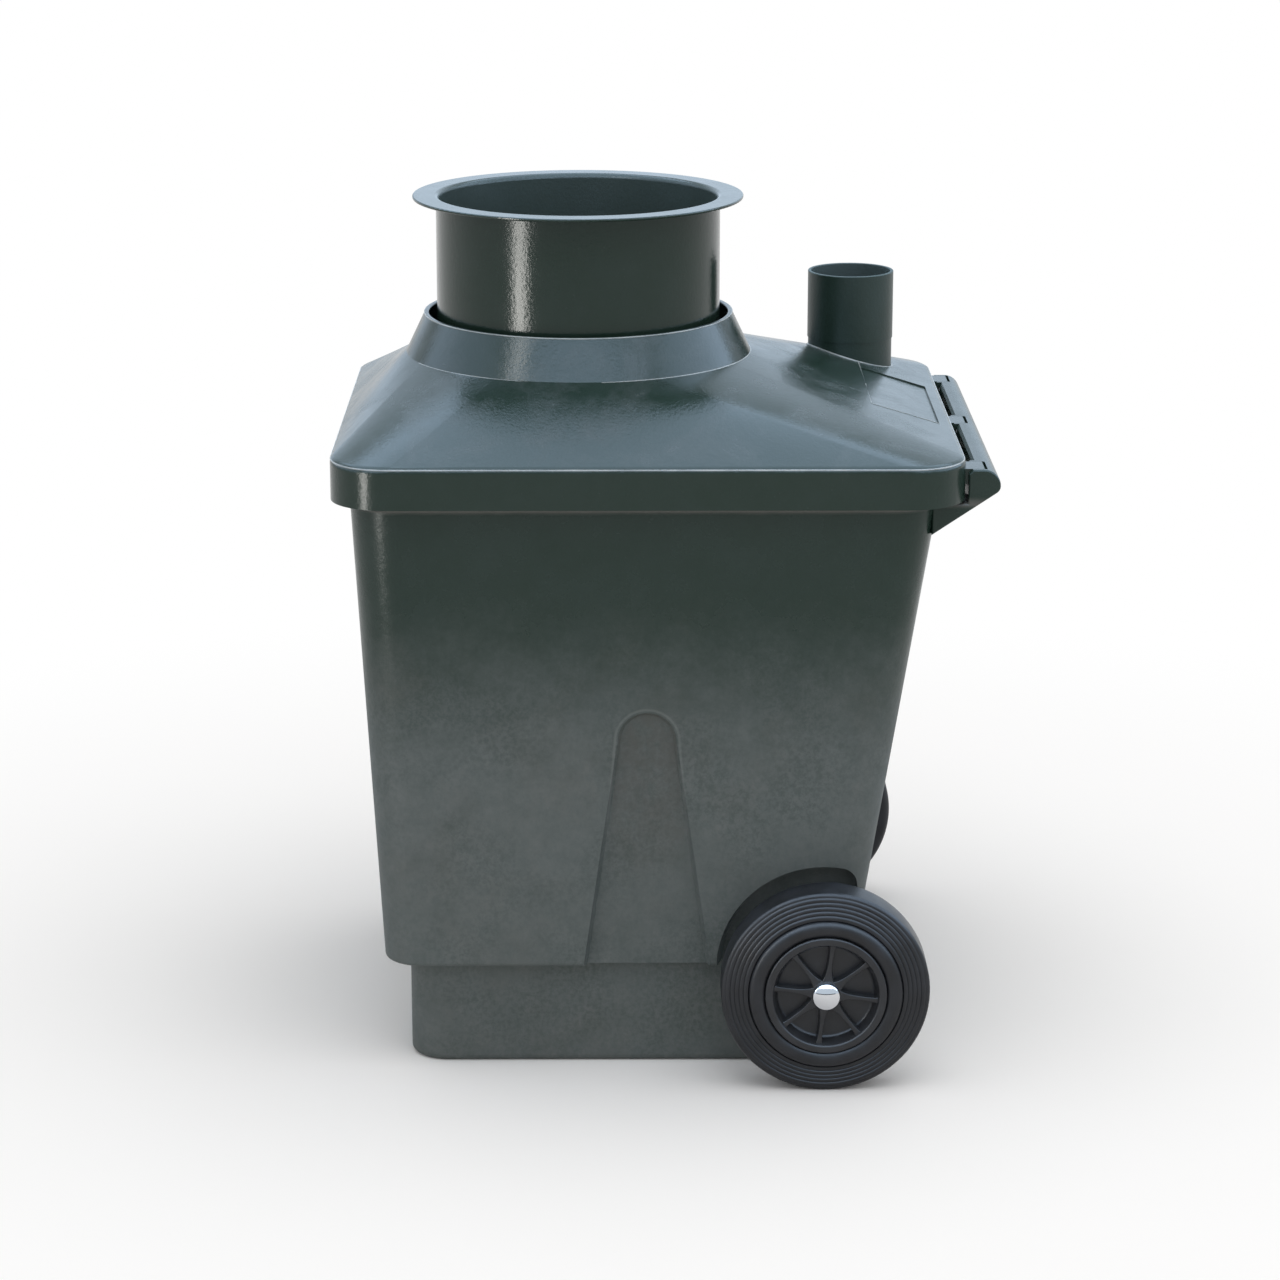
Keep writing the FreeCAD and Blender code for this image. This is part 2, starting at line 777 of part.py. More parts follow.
def make_vent_stub():
    """The upright pipe stub that the ventilation pipe is pushed onto, with a slimmer foot in the lid."""
    bottom = vent_floor + vent_socket_lip + vent_seal_height
    shoulder = vent_shoulder()
    lip = vent_lip_radius
    pipe = turned_z(
        [
            (vent_bore, bottom),
            (vent_foot_radius, bottom),
            (vent_foot_radius, shoulder),
            (vent_radius, shoulder),
            (vent_radius, vent_top),
            (vent_bore, vent_top),
        ],
        -vent_side_offset, vent_y,
    )
    return rounded(pipe, lip, lambda b: b.ZMin > vent_top - lip)


def make_vent_seal():
    """The flat rubber ring under the foot of the ventilation stub."""
    low = vent_floor + vent_socket_lip
    ring = rod_z(vent_foot_radius, -vent_side_offset, vent_y, low, low + vent_seal_height)
    return ring.cut(
        rod_z(vent_bore, -vent_side_offset, vent_y, low - cut_overrun, low + vent_seal_height + cut_overrun))


# Wheels


def make_axle():
    """The steel axle with its ends inside the two caps."""
    end = wheel_face - hub_boss_setback + cap_depth - cap_wall - cap_dome
    return rod_x(axle_radius, -end, end, axle_y, wheel_radius)


def tyre_profile():
    """Half the tyre's section as (place along X, radius) points, from the inner bead outwards."""
    inner = tyre_inner_face
    outer = tyre_outer_face
    ring_x = outer + tyre_dish
    wall_top = wheel_radius - tyre_shoulder / 2
    tread_end = wheel_radius - tyre_shoulder * tyre_shoulder_drop_share
    outline = [
        (inner, tyre_bead_radius),
        (inner, wall_top),
        (inner + tyre_shoulder / 2, wheel_radius),
        (outer - tyre_shoulder, wheel_radius),
        (outer - tyre_shoulder * tyre_shoulder_wall_share, tread_end),
        (outer, wall_top),
    ]
    pitch = (wall_top - tyre_ring_radius) / (tyre_groove_count + 1)
    fall = tyre_dish / (wall_top - tyre_ring_radius)
    for groove in range(tyre_groove_count):
        middle = wall_top - pitch * (groove + 1)
        half = tyre_groove_width / 2
        for radius, depth in ((middle + half, 0), (middle, tyre_groove_depth), (middle - half, 0)):
            outline.append((outer + (wall_top - radius) * fall - depth, radius))
    ring_mid = (tyre_ring_radius + tyre_bead_radius) / 2
    outline += [
        (ring_x, tyre_ring_radius + tyre_ring_groove),
        (ring_x - tyre_ring_groove, tyre_ring_radius),
        (ring_x + tyre_ring_bulge / 2, tyre_ring_radius - tyre_ring_groove),
        (ring_x + tyre_ring_bulge, ring_mid),
        (ring_x + tyre_ring_bulge / 2, tyre_bead_radius + tyre_ring_groove),
        (ring_x, tyre_bead_radius),
    ]
    return outline


def make_tyre():
    """The solid rubber tyre of the near wheel, with rings pressed into its outer wall."""
    return turned_x(tyre_profile(), axle_y, wheel_radius)


def spoke(angle):
    """One rib of the wheel, wide and high at the boss and slim at the rim."""
    web_back = wheel_face - hub_rim_dish - hub_web_setback
    root_radius = axle_radius + spoke_root_gap
    tip_radius = hub_rim_inner_radius + cut_overrun

    def section(radius, width, face):
        half = width / 2
        corners = [
            point(web_back, -half, radius),
            point(web_back, half, radius),
            point(face, half, radius),
            point(face, -half, radius),
        ]
        return Part.makePolygon(corners + corners[:1])

    root = section(root_radius, spoke_root_width, wheel_face - hub_boss_setback - cut_overrun)
    tip = section(tip_radius, spoke_tip_width, wheel_face - spoke_tip_setback)
    rib = Part.makeLoft([root, tip], True, True)
    rib.rotate(point(0, 0, 0), X_AXIS, -angle)
    rib.translate(point(0, axle_y, wheel_radius))
    return rib


def make_wheel_hub():
    """The moulded hub of the near wheel: rim, web, spokes and bored boss."""
    outer_radius = tyre_bead_radius - hub_to_tyre_gap
    edge = tyre_ring_groove
    web_face = wheel_face - hub_rim_dish - hub_web_setback + hub_web_thickness
    web_back = web_face - hub_web_thickness
    hub = turned_x(
        [
            (tyre_inner_face, outer_radius),
            (wheel_face - edge, outer_radius),
            (wheel_face, outer_radius - edge),
            (wheel_face, hub_rim_inner_radius + edge),
            (wheel_face - edge, hub_rim_inner_radius),
            (web_face, hub_rim_inner_radius),
            (web_face, 0),
            (web_back, 0),
            (web_back, hub_rim_inner_radius),
            (tyre_inner_face, hub_rim_inner_radius),
        ],
        axle_y, wheel_radius,
    )
    boss_end = wheel_face - hub_boss_setback
    boss = rod_x(hub_boss_radius, tyre_inner_face, boss_end, axle_y, wheel_radius)
    ribs = [spoke(spoke_turn + full_turn * turn / spoke_count) for turn in range(spoke_count)]
    hub = hub.fuse([boss] + ribs)
    bore = rod_x(axle_radius + running_gap, 0, lid_half + lid_half, axle_y, wheel_radius)
    return hub.cut(bore)


def make_axle_spacer():
    """The sleeve that keeps the near wheel off the container."""
    sleeve = rod_x(spacer_radius, plinth_side, tyre_inner_face - seat_gap, axle_y, wheel_radius)
    return sleeve.cut(rod_x(axle_radius + pressed_gap, 0, lid_half + lid_half, axle_y, wheel_radius))


def make_axle_cap():
    """The domed push-on cap that keeps the near wheel on the axle."""
    start = wheel_face - hub_boss_setback + seat_gap
    end = start + cap_depth - seat_gap
    bore = axle_radius + pressed_gap
    bottom = end - cap_wall - cap_dome + seat_gap
    outline = [(start, bore), (start, cap_radius), (end - cap_dome, cap_radius)]
    for radius_share, drop_share in cap_dome_shares:
        outline.append((end - cap_dome * drop_share, cap_radius * radius_share))
    outline += [(end, 0), (bottom, 0), (bottom, bore)]
    return turned_x(outline, axle_y, wheel_radius)


# Drainage


def make_drainage_grate():
    """The slotted false floor on feet that keeps solids above the liquid."""
    half, front, rear, radius, level = plinth_outline(0, container_wall + grate_side_gap)
    low = container_wall + grate_height
    top = low + grate_thickness
    plate = tub((half, front, rear, radius, low), (half, front, rear, radius, top))
    slot_pitch_x = (half + half - grate_border - grate_border) / grate_slot_columns
    slot_pitch_y = (rear - front - grate_border - grate_border) / grate_slot_rows
    slot_length = slot_pitch_x * grate_slot_pitch_share
    slots = []
    for column in range(grate_slot_columns):
        for row in range(grate_slot_rows):
            x = -half + grate_border + slot_pitch_x * column + (slot_pitch_x - slot_length) / 2
            y = front + grate_border + slot_pitch_y * row + (slot_pitch_y - grate_slot_width) / 2
            slots.append(box(x, x + slot_length, y, y + grate_slot_width, low - cut_overrun, top + cut_overrun))
    plate = plate.cut(Part.makeCompound(slots))
    feet = []
    for x in (-half + grate_foot_inset, half - grate_foot_inset):
        for y in (front + grate_foot_inset, rear - grate_foot_inset):
            feet.append(rod_z(grate_foot_radius, x, y, container_wall, low + grate_thickness / 2))
    return plate.fuse(feet)


def outlet_turned(profile):
    """A turned piece on the outlet's axis, from (radius, place along Y) points."""
    centre = point(0, 0, outlet_height)
    return turned([point(r, y, outlet_height) for r, y in profile], centre, Y_AXIS)


def make_drain_spigot():
    """The hose spigot for seepage liquid, through the rear wall of the plinth."""
    seat = plinth_rear + outlet_seal_thickness
    inner_end = plinth_rear - container_wall - outlet_nut_thickness - outlet_thread_end
    flange_end = seat + outlet_flange_thickness
    barb_pitch = (outlet_length - outlet_flange_thickness) / (outlet_barbs + 1)
    profile = [
        (outlet_bore, inner_end),
        (outlet_thread_radius, inner_end),
        (outlet_thread_radius, seat),
        (outlet_flange_radius, seat),
        (outlet_flange_radius, flange_end),
        (outlet_radius, flange_end),
    ]
    for barb in range(outlet_barbs):
        start = flange_end + barb_pitch * (barb + 1)
        profile += [(outlet_radius, start), (outlet_radius + outlet_barb_rise, start)]
        profile.append((outlet_radius, start + barb_pitch * outlet_barb_share))
    end = flange_end + barb_pitch * (outlet_barbs + 1)
    profile += [(outlet_radius, end), (outlet_bore, end)]
    return outlet_turned(profile)


def make_drain_gasket():
    """The flat gasket between the spigot's flange and the plinth."""
    bore = outlet_thread_radius + seat_gap
    end = plinth_rear + outlet_seal_thickness
    return outlet_turned(
        [(bore, plinth_rear), (outlet_flange_radius, plinth_rear), (outlet_flange_radius, end), (bore, end)])


def make_drain_locknut():
    """The six-sided nut that clamps the spigot from inside."""
    end = plinth_rear - container_wall
    start = end - outlet_nut_thickness
    corners = []
    for side in range(outlet_nut_sides + 1):
        angle = math.radians(full_turn * side / outlet_nut_sides)
        height = outlet_height + outlet_nut_radius * math.sin(angle)
        corners.append(point(outlet_nut_radius * math.cos(angle), start, height))
    nut = Part.Face(Part.makePolygon(corners)).extrude(Y_AXIS * outlet_nut_thickness)
    bore = Part.makeCylinder(
        outlet_thread_radius + pressed_gap, outlet_nut_thickness + cut_overrun + cut_overrun,
        point(0, start - cut_overrun, outlet_height), Y_AXIS,
    )
    return nut.cut(bore)


def save(name, shape):
    """Check a piece and write it as its own file."""
    if isinstance(shape, list):
        shape = Part.makeCompound(shape)
    if not shape.isValid():
        print("not valid:", name)
    shape.exportStep(os.path.join("parts", name + ".step"))
    size = shape.BoundBox
    print(name, len(shape.Solids), "solid,", round(shape.Volume / cubic_mm_per_cm, 1), "cm3, box",
          [round(value, 1) for value in (size.XMin, size.YMin, size.ZMin, size.XMax, size.YMax, size.ZMax)])


def main():
    """Build every piece of the container."""
    os.makedirs("parts", exist_ok=True)
    save("container", make_container())
    save("lid_seal", make_lid_seal())
    save("lid", make_lid())
    save("hinge_pins", make_hinge_pins())
    save("drop_tube", make_drop_tube())
    save("tube_seal", make_tube_seal())
    save("vent_stub", make_vent_stub())
    save("vent_seal", make_vent_seal())
    save("axle", make_axle())
    sided = {
        "wheel_hub": make_wheel_hub(),
        "tyre": make_tyre(),
        "axle_spacer": make_axle_spacer(),
        "axle_cap": make_axle_cap(),
    }
    for name, near in sided.items():
        save(name + "_right", near)
        save(name + "_left", mirrored(near))
    save("drainage_grate", make_drainage_grate())
    save("drain_spigot", make_drain_spigot())
    save("drain_gasket", make_drain_gasket())
    save("drain_locknut", make_drain_locknut())


main()
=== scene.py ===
# %% [markdown]
# This lesson dresses a wheeled dry toilet container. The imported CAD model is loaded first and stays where
# it is: each new piece is built around it in the same frame, in metres, and rides on the body that carries
# it.

import math

import bmesh
import bpy
from mathutils import Matrix, Vector


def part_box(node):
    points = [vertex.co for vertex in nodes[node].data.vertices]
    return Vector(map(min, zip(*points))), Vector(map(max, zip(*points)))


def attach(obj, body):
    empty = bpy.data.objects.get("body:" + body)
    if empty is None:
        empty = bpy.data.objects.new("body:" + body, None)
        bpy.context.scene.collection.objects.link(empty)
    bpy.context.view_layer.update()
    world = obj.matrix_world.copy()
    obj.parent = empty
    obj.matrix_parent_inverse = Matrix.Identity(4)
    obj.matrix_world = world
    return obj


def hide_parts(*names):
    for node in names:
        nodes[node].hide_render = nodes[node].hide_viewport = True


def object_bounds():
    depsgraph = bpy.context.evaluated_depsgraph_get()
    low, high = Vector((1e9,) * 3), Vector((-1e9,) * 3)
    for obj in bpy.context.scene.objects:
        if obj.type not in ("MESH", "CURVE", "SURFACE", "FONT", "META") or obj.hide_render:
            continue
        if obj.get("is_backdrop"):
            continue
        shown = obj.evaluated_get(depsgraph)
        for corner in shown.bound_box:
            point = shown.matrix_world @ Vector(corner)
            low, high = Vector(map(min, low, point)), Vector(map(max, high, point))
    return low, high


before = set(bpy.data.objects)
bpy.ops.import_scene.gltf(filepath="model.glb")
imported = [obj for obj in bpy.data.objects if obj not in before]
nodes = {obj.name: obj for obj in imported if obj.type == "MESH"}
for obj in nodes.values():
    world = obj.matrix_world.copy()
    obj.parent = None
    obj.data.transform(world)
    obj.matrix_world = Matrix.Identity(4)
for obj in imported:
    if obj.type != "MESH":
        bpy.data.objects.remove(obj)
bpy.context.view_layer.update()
mm = 0.001
full_turn = math.tau

# %% [markdown]
# A finish is a net of shader nodes. It could be wired by hand in the editor, but its maths reads best as
# sums. Every socket is wrapped in a small class whose operators add Math nodes, so a mask can be written as
# 1 - mask.


# %% A socket that can be used in sums
class Value:
    """A number or colour that changes over a surface: the output of a shader node."""

    def __init__(self, net, socket):
        self.net = net
        self.socket = socket

    def maths(self, operation, first, second):
        return self.net.node("ShaderNodeMath", {"operation": operation}, {0: first, 1: second})

    def __add__(self, other):
        return self.maths("ADD", self, other)

    def __radd__(self, other):
        return self.maths("ADD", other, self)

    def __sub__(self, other):
        return self.maths("SUBTRACT", self, other)

    def __rsub__(self, other):
        return self.maths("SUBTRACT", other, self)

    def __mul__(self, other):
        return self.maths("MULTIPLY", self, other)

    def __rmul__(self, other):
        return self.maths("MULTIPLY", other, self)

    def larger(self, other):
        return self.maths("MAXIMUM", self, other)

    def root(self):
        return self.maths("POWER", self, 0.5)


# %% [markdown]
# All other nodes come from one method that takes the kind of node, its settings and what its sockets get.
# It serves materials and the world alike. The methods after it make what both of them need.


# %% Nodes for materials and for the world
class Nodes:
    """The shader nodes of a material or of the world, made in Python."""

    def __init__(self, owner):
        self.owner = owner
        owner.use_nodes = True
        self.tree = owner.node_tree
        self.tree.nodes.clear()

    def node(self, kind, settings, inputs, output=0):
        """Make a node, set it up, feed its sockets and give back one of its outputs, if it has any."""
        made = self.tree.nodes.new(kind)
        for key, value in settings.items():
            if key == "stops":
                self.set_stops(made.color_ramp, value)
            else:
                setattr(made, key, value)
        for key, value in inputs.items():
            self.feed(made.inputs[key], value)
        if len(made.outputs) > 0:
            return Value(self, made.outputs[output])

    def feed(self, socket, value):
        """Link a value to a socket, or set it there as a constant."""
        if isinstance(value, Value):
            self.tree.links.new(value.socket, socket)
        elif socket.type == "RGBA":
            socket.default_value = (*value, 1)
        else:
            socket.default_value = value

    def set_stops(self, ramp, stops):
        """Give a ramp its stops, as pairs of place and grey."""
        while len(ramp.elements) < len(stops):
            ramp.elements.new(1)
        for element, (place, tone) in zip(ramp.elements, stops):
            element.position = place
            element.color = (tone, tone, tone, 1)

    def blend(self, share, first, second):
        """One colour turning into another: a Mix node takes them at sockets 6 and 7 and answers at 2."""
        return self.node("ShaderNodeMix", {"data_type": "RGBA"}, {0: share, 6: first, 7: second}, 2)

    def ray(self, kind):
        """1 for rays of one kind and 0 for others."""
        return self.node("ShaderNodeLightPath", {}, {}, "Is " + kind + " Ray")

    def seen(self):
        """1 for the rays that show a thing to the camera, straight or by way of metal and glass."""
        return self.ray("Camera").larger(self.ray("Glossy")).larger(self.ray("Transmission"))

    def close(self, kind, shader):
        """Send the finished shader to the output."""
        self.node(kind, {}, {"Surface": shader})
        return self.owner


# %% [markdown]
# A material adds patterns to this. They all read Object coordinates, so they are fixed to the part's own
# frame: they run on from piece to piece, and they don't slide when a body moves.


# %% Patterns and the surface of a material
class Finish(Nodes):
    """A material with patterns that are fixed to the part."""

    def place(self):
        """Where a point lies, in the part's frame."""
        return self.node("ShaderNodeTexCoord", {}, {}, "Object")

    def along(self, axis):
        """How far along one axis a point lies."""
        return self.node("ShaderNodeSeparateXYZ", {}, {0: self.place()}, axis)

    def noise(self, scale, detail, roughness=0.5, stretch=None, distortion=0.0):
        """Cloudy noise, with its scale in lumps per metre, stretched along the axes if asked."""
        place = self.place()
        if stretch:
            place = self.node("ShaderNodeMapping", {}, {"Vector": place, "Scale": stretch})
        inputs = {"Vector": place, "Scale": scale, "Detail": detail}
        inputs.update({"Roughness": roughness, "Distortion": distortion})
        return self.node("ShaderNodeTexNoise", {"noise_dimensions": "3D"}, inputs, "Fac")

    def ramp(self, value, *stops):
        """A value sent through stops."""
        return self.node("ShaderNodeValToRGB", {"stops": stops}, {"Fac": value}, "Color")

    def fade(self, value, start, end):
        """0 before start, 1 after end and smooth between them."""
        settings = {"interpolation_type": "SMOOTHSTEP", "clamp": True}
        return self.node("ShaderNodeMapRange", settings, {"Value": value, "From Min": start, "From Max": end})

    def length(self, vector):
        """How long a vector is."""
        return self.node("ShaderNodeVectorMath", {"operation": "LENGTH"}, {0: vector}, "Value")

    def bump(self, height, strength, depth, below=None):
        """A surface relief, on top of a coarser one if given."""
        inputs = {"Height": height, "Strength": strength, "Distance": depth}
        if below:
            inputs["Normal"] = below
        return self.node("ShaderNodeBump", {}, inputs, "Normal")

    def surface(self, colour, roughness, relief=None, **constants):
        """Finish a material with the standard surface shader."""
        inputs = {"Base Color": colour, "Roughness": roughness}
        if relief:
            inputs["Normal"] = relief
        for name, value in constants.items():
            inputs[name.replace("_", " ")] = value
        shader = self.node("ShaderNodeBsdfPrincipled", {}, inputs)
        return self.close("ShaderNodeOutputMaterial", shader)


def new_finish(name):
    """An empty material to build on."""
    return Finish(bpy.data.materials.new(name))


# %% [markdown]
# The container and lid are rotation-moulded plastic in a dark green. It is glossy enough to mirror the sky
# and the pipe, but a slow ripple and a fine leathery grain break the mirror up. Such a finish could be an
# image, but noise that is tied to the part's own frame has no seams and stays sharp close up.

# %% Moulded green plastic
deep_green = (0.0138, 0.0298, 0.0226)
worn_green = (0.0178, 0.0338, 0.0276)
pale_speck = (0.092, 0.106, 0.105)
speck_share = 0.12
smudge_dullness = 0.06
green_shine = 0.26
ripple_depth = 1.2
dimple_depth = 0.14
grain_depth = 0.22


def green_relief(finish):
    """A slow ripple from the mould, with dimples and a leathery grain on it."""
    ripple = finish.noise(scale=9.0, detail=2.0)
    dimples = finish.noise(scale=120.0, detail=2.0)
    grain = finish.noise(scale=230.0, detail=3.0, roughness=0.6)
    rippled = finish.bump(ripple, strength=0.35, depth=ripple_depth * mm)
    dimpled = finish.bump(dimples, strength=0.35, depth=dimple_depth * mm, below=rippled)
    return finish.bump(grain, strength=1.0, depth=grain_depth * mm, below=dimpled)


def moulded_green(name, *layers, roughness):
    """Green plastic with grain, ripple and smudges, under any layers of dust or dirt."""
    finish = new_finish(name)
    smudge = finish.ramp(finish.noise(scale=16.0, detail=8.0, roughness=0.62), (0.36, 0.0), (0.70, 1.0))
    speck = finish.ramp(finish.noise(scale=330.0, detail=2.0), (0.68, 0.0), (0.76, 1.0))
    colour = finish.blend(smudge, deep_green, worn_green)
    colour = finish.blend(speck * speck_share, colour, pale_speck)
    roughness = smudge * smudge_dullness + roughness
    for layer in layers:
        colour, roughness = layer(finish, colour, roughness)
    return finish.surface(colour, roughness, green_relief(finish), Specular_IOR_Level=green_shine)


# %% [markdown]
# Dirt is laid over the plastic in layers, each a small function that changes the colour and the gloss. On
# the sides, dust covers what lies below a ragged tide line and is brushed off in fine specks. It could be
# painted by hand on an unwrapped mesh, but a height with noise added gives the same ragged line with no
# unwrapping.

# %% Dust on the sides
dust_grey = (0.104, 0.117, 0.1145)
dust_brown = (0.098, 0.097, 0.087)
dust_dullness = 0.34
tide_heights = (0.355, 0.615)
tide_swing = 0.2
broad_share = 0.6
brown_loss = 0.6


def dust_tide(finish, colour, roughness):
    """Grey dust below the tide line, brownish in places and dulling the gloss."""
    broad = finish.noise(scale=15.0, detail=10.0, roughness=0.72)
    small = finish.noise(scale=70.0, detail=8.0, roughness=0.7)
    ragged = broad * broad_share + small * (1 - broad_share)
    cover = 1 - finish.fade(finish.along("Z") + (ragged - 0.5) * tide_swing, *tide_heights)
    patch = finish.ramp(finish.noise(scale=9.0, detail=6.0, roughness=0.6), (0.44, 0.0), (0.66, 0.7))
    scuff = finish.ramp(finish.noise(scale=34.0, detail=10.0, roughness=0.7), (0.30, 0.70), (0.68, 1.0))
    brushed = finish.ramp(finish.noise(scale=7.0, detail=4.0), (0.42, 0.25), (0.60, 1.0))
    speck = finish.ramp(finish.noise(scale=170.0, detail=6.0, roughness=0.72), (0.40, 0.36), (0.58, 0.0))
    dust = finish.blend(patch * (1 - cover * brown_loss), dust_grey, dust_brown)
    colour = finish.blend(cover * scuff * (1 - speck * brushed), colour, dust)
    return colour, cover * dust_dullness + roughness


# %% [markdown]
# Rain can't reach the rim below the skirt of the lid, and a thin brown line of dirt stays there. It could
# be painted on, but a band between two heights follows the rim all round by itself. A little noise makes it
# wavy, so that it doesn't look ruled.

# %% Dirt round the rim
rim_dirt_heights = (0.6965, 0.7025, 0.712)
rim_dirt_wave = 0.003
rim_dirt_share = 0.85
rim_dirt_dullness = 0.25


def rim_dirt(finish, colour, roughness):
    """A thin brown line, full in the middle and fading out above and below."""
    low, middle, high = rim_dirt_heights
    wavy = finish.along("Z") + (finish.noise(scale=30.0, detail=4.0) - 0.5) * rim_dirt_wave
    line = finish.fade(wavy, low, middle) * (1 - finish.fade(wavy, middle, high))
    return finish.blend(line * rim_dirt_share, colour, dust_brown), line * rim_dirt_dullness + roughness


# %% [markdown]
# Rain dries on the roof of the lid and leaves cloudy marks. They could be many small stains, but noise that
# is pulled out of shape a little looks much the same and is one node. The marks belong to the roof, so the
# layer fades out at the skirt's upper edge.

# %% Dried rain on the roof
haze_grey = (0.088, 0.099, 0.104)
haze_share = 0.3
haze_dullness = 0.10
roof_heights = (0.752, 0.768)


def roof_haze(finish, colour, roughness):
    """Cloudy marks above the skirt that dull the gloss a little."""
    cloud = finish.noise(scale=12.0, detail=8.0, roughness=0.68, distortion=0.6)
    haze = finish.ramp(cloud, (0.46, 0.0), (0.68, 1.0)) * finish.fade(finish.along("Z"), *roof_heights)
    return finish.blend(haze * haze_share, colour, haze_grey), haze * haze_dullness + roughness


# %% [markdown]
# The arched panels are pressed into the side walls. Towards the top they are darker and browner inside, and
# just outside them a pale line is a painted highlight. An arch has a simple measure: how far a point lies
# from the middle line, or from the centre of the round top above it, less how wide the arch is there. It is
# below zero inside the arch and above zero outside.

# %% Darker brown in the arched panels and a painted highlight round them
panel_brown = (0.070, 0.070, 0.063)
panel_brown_share = 0.7
panel_brown_heights = (0.20, 0.42)
panel_brown_edge = (-4 * mm, -1 * mm)
# The pale grey line just outside the arched panels, near their top, is a painted highlight.
painted_highlight_grey = (0.17, 0.18, 0.175)
painted_highlight_share = 0.3
painted_highlight_start = (-0.5 * mm, 0.5 * mm)
painted_highlight_end = (1.5 * mm, 4 * mm)
arch_to_axle = 0.213
arch_spring = 0.420
arch_radius = 0.037
arch_spread = 0.085
axle_low, axle_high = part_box("axle")
arch_middle = (axle_low.y + axle_high.y) / 2 - arch_to_axle
print("middle of the arched panels at y =", round(arch_middle / mm), "mm")


def panel_brown_and_painted_highlight(finish, colour, roughness):
    """A blotchy darker brown in the arched panels near the top, and a painted highlight: a pale line just
    outside them.
    """
    sideways = finish.along("Y") - arch_middle
    height = finish.along("Z")
    above = (height - arch_spring).larger(0)
    below = (arch_spring - height).larger(0)
    outside = (sideways * sideways + above * above).root() - (below * arch_spread + arch_radius)
    upper = finish.fade(height, *panel_brown_heights)
    blotch = finish.ramp(finish.noise(scale=45.0, detail=8.0, roughness=0.72), (0.36, 0.15), (0.60, 1.0))
    inner_mask = (1 - finish.fade(outside, *panel_brown_edge)) * upper * blotch
    # Painted highlight: a pale line just outside the arch.
    line = finish.fade(outside, *painted_highlight_start) * (1 - finish.fade(outside, *painted_highlight_end)) * upper
    colour = finish.blend(inner_mask * panel_brown_share, colour, panel_brown)
    return finish.blend(line * painted_highlight_share, colour, painted_highlight_grey), roughness


# %% [markdown]
# Inside, the tube and the pipe stub are painted a lighter, duller green: painted light that stands in for the
# light falling into them. The inner faces could get a material of their own, but the CAD mesh stays as it
# is. So a function takes a pipe's box and makes a layer that keeps the painted light to the points that lie
# closer to the pipe's axis than its wall does.

# %% Painted light inside the pipes
# Painted light: a lighter green inside the pipes stands in for the light that falls into them.
painted_light_pipe_green = (0.040, 0.062, 0.061)
pipe_dullness = 0.2
pipe_wall = 2.0


def pipe_painted_light(node, radius):
    """A layer of painted light inside an upright pipe whose bore has this radius in mm."""
    low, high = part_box(node)
    middle = (low + high) / 2

    def layer(finish, colour, roughness):
        moved = {"Vector": finish.place(), "Location": (-middle.x, -middle.y, 0), "Scale": (1, 1, 0)}
        distance = finish.length(finish.node("ShaderNodeMapping", {}, moved))
        # The painted light fills the bore and fades out across the wall.
        inner_mask = 1 - finish.fade(distance, radius * mm, (radius + pipe_wall) * mm)
        return finish.blend(inner_mask, colour, painted_light_pipe_green), inner_mask * pipe_dullness + roughness

    return layer


# %% [markdown]
# The four green pieces share one plastic and differ in gloss and in what lies on it: the container is dull
# and dusty, the lid satin, the tube almost polished and the pipe stub matt.

# %% The four greens
tube_bore = 171.0
stub_bore = 52.0
container_finish = moulded_green("container_plastic", dust_tide, rim_dirt, panel_brown_and_painted_highlight, roughness=0.24)
lid_finish = moulded_green("lid_plastic", roof_haze, roughness=0.18)
tube_finish = moulded_green("tube_plastic", pipe_painted_light("drop_tube", tube_bore), roughness=0.13)
stub_finish = moulded_green("tube_plastic", pipe_painted_light("vent_stub", stub_bore), roughness=0.36)
print("green plastics:", [made.name for made in (container_finish, lid_finish, tube_finish, stub_finish)])

# %% [markdown]
# The tyres are charcoal rubber with a bluish bloom, and the hubs, seals, grate and drain fitting are black
# rubber and plastic. The painted highlights on the lid's edges are the same kind of surface in a light grey.
# One function makes them all from two tones, a roughness and a grain.

# %% Rubber and moulded plastic
bloom_dullness = 0.12
moulding_shine = 0.34


def grained_moulding(name, tone, bloom, roughness, grain, depth):
    """Rubber or plastic with a cloudy bloom and a grain, in lumps per metre, that is this deep in mm."""
    finish = new_finish(name)
    cloud = finish.ramp(finish.noise(scale=32.0, detail=8.0, roughness=0.62), (0.36, 0.0), (0.68, 1.0))
    colour = finish.blend(cloud, tone, bloom)
    lumps = finish.noise(grain, detail=3.0, roughness=0.6)
    relief = finish.bump(lumps, strength=0.3, depth=depth * mm)
    dull = cloud * bloom_dullness + roughness
    return finish.surface(colour, dull, relief, Specular_IOR_Level=moulding_shine)


tyre_finish = grained_moulding(
    "tyre_rubber", (0.009, 0.0095, 0.0112), (0.0145, 0.0152, 0.0182), roughness=0.36, grain=700.0, depth=0.12)
hub_finish = grained_moulding(
    "hub_plastic", (0.016, 0.0165, 0.0185), (0.024, 0.025, 0.028), roughness=0.34, grain=900.0, depth=0.10)
seal_finish = grained_moulding(
    "seal_rubber", (0.008, 0.008, 0.009), (0.016, 0.016, 0.017), roughness=0.55, grain=800.0, depth=0.10)
grate_finish = grained_moulding(
    "grate_plastic", (0.016, 0.017, 0.018), (0.034, 0.035, 0.036), roughness=0.48, grain=500.0, depth=0.15)
fitting_finish = grained_moulding(
    "fitting_plastic", (0.014, 0.015, 0.016), (0.028, 0.029, 0.031), roughness=0.40, grain=600.0, depth=0.10)
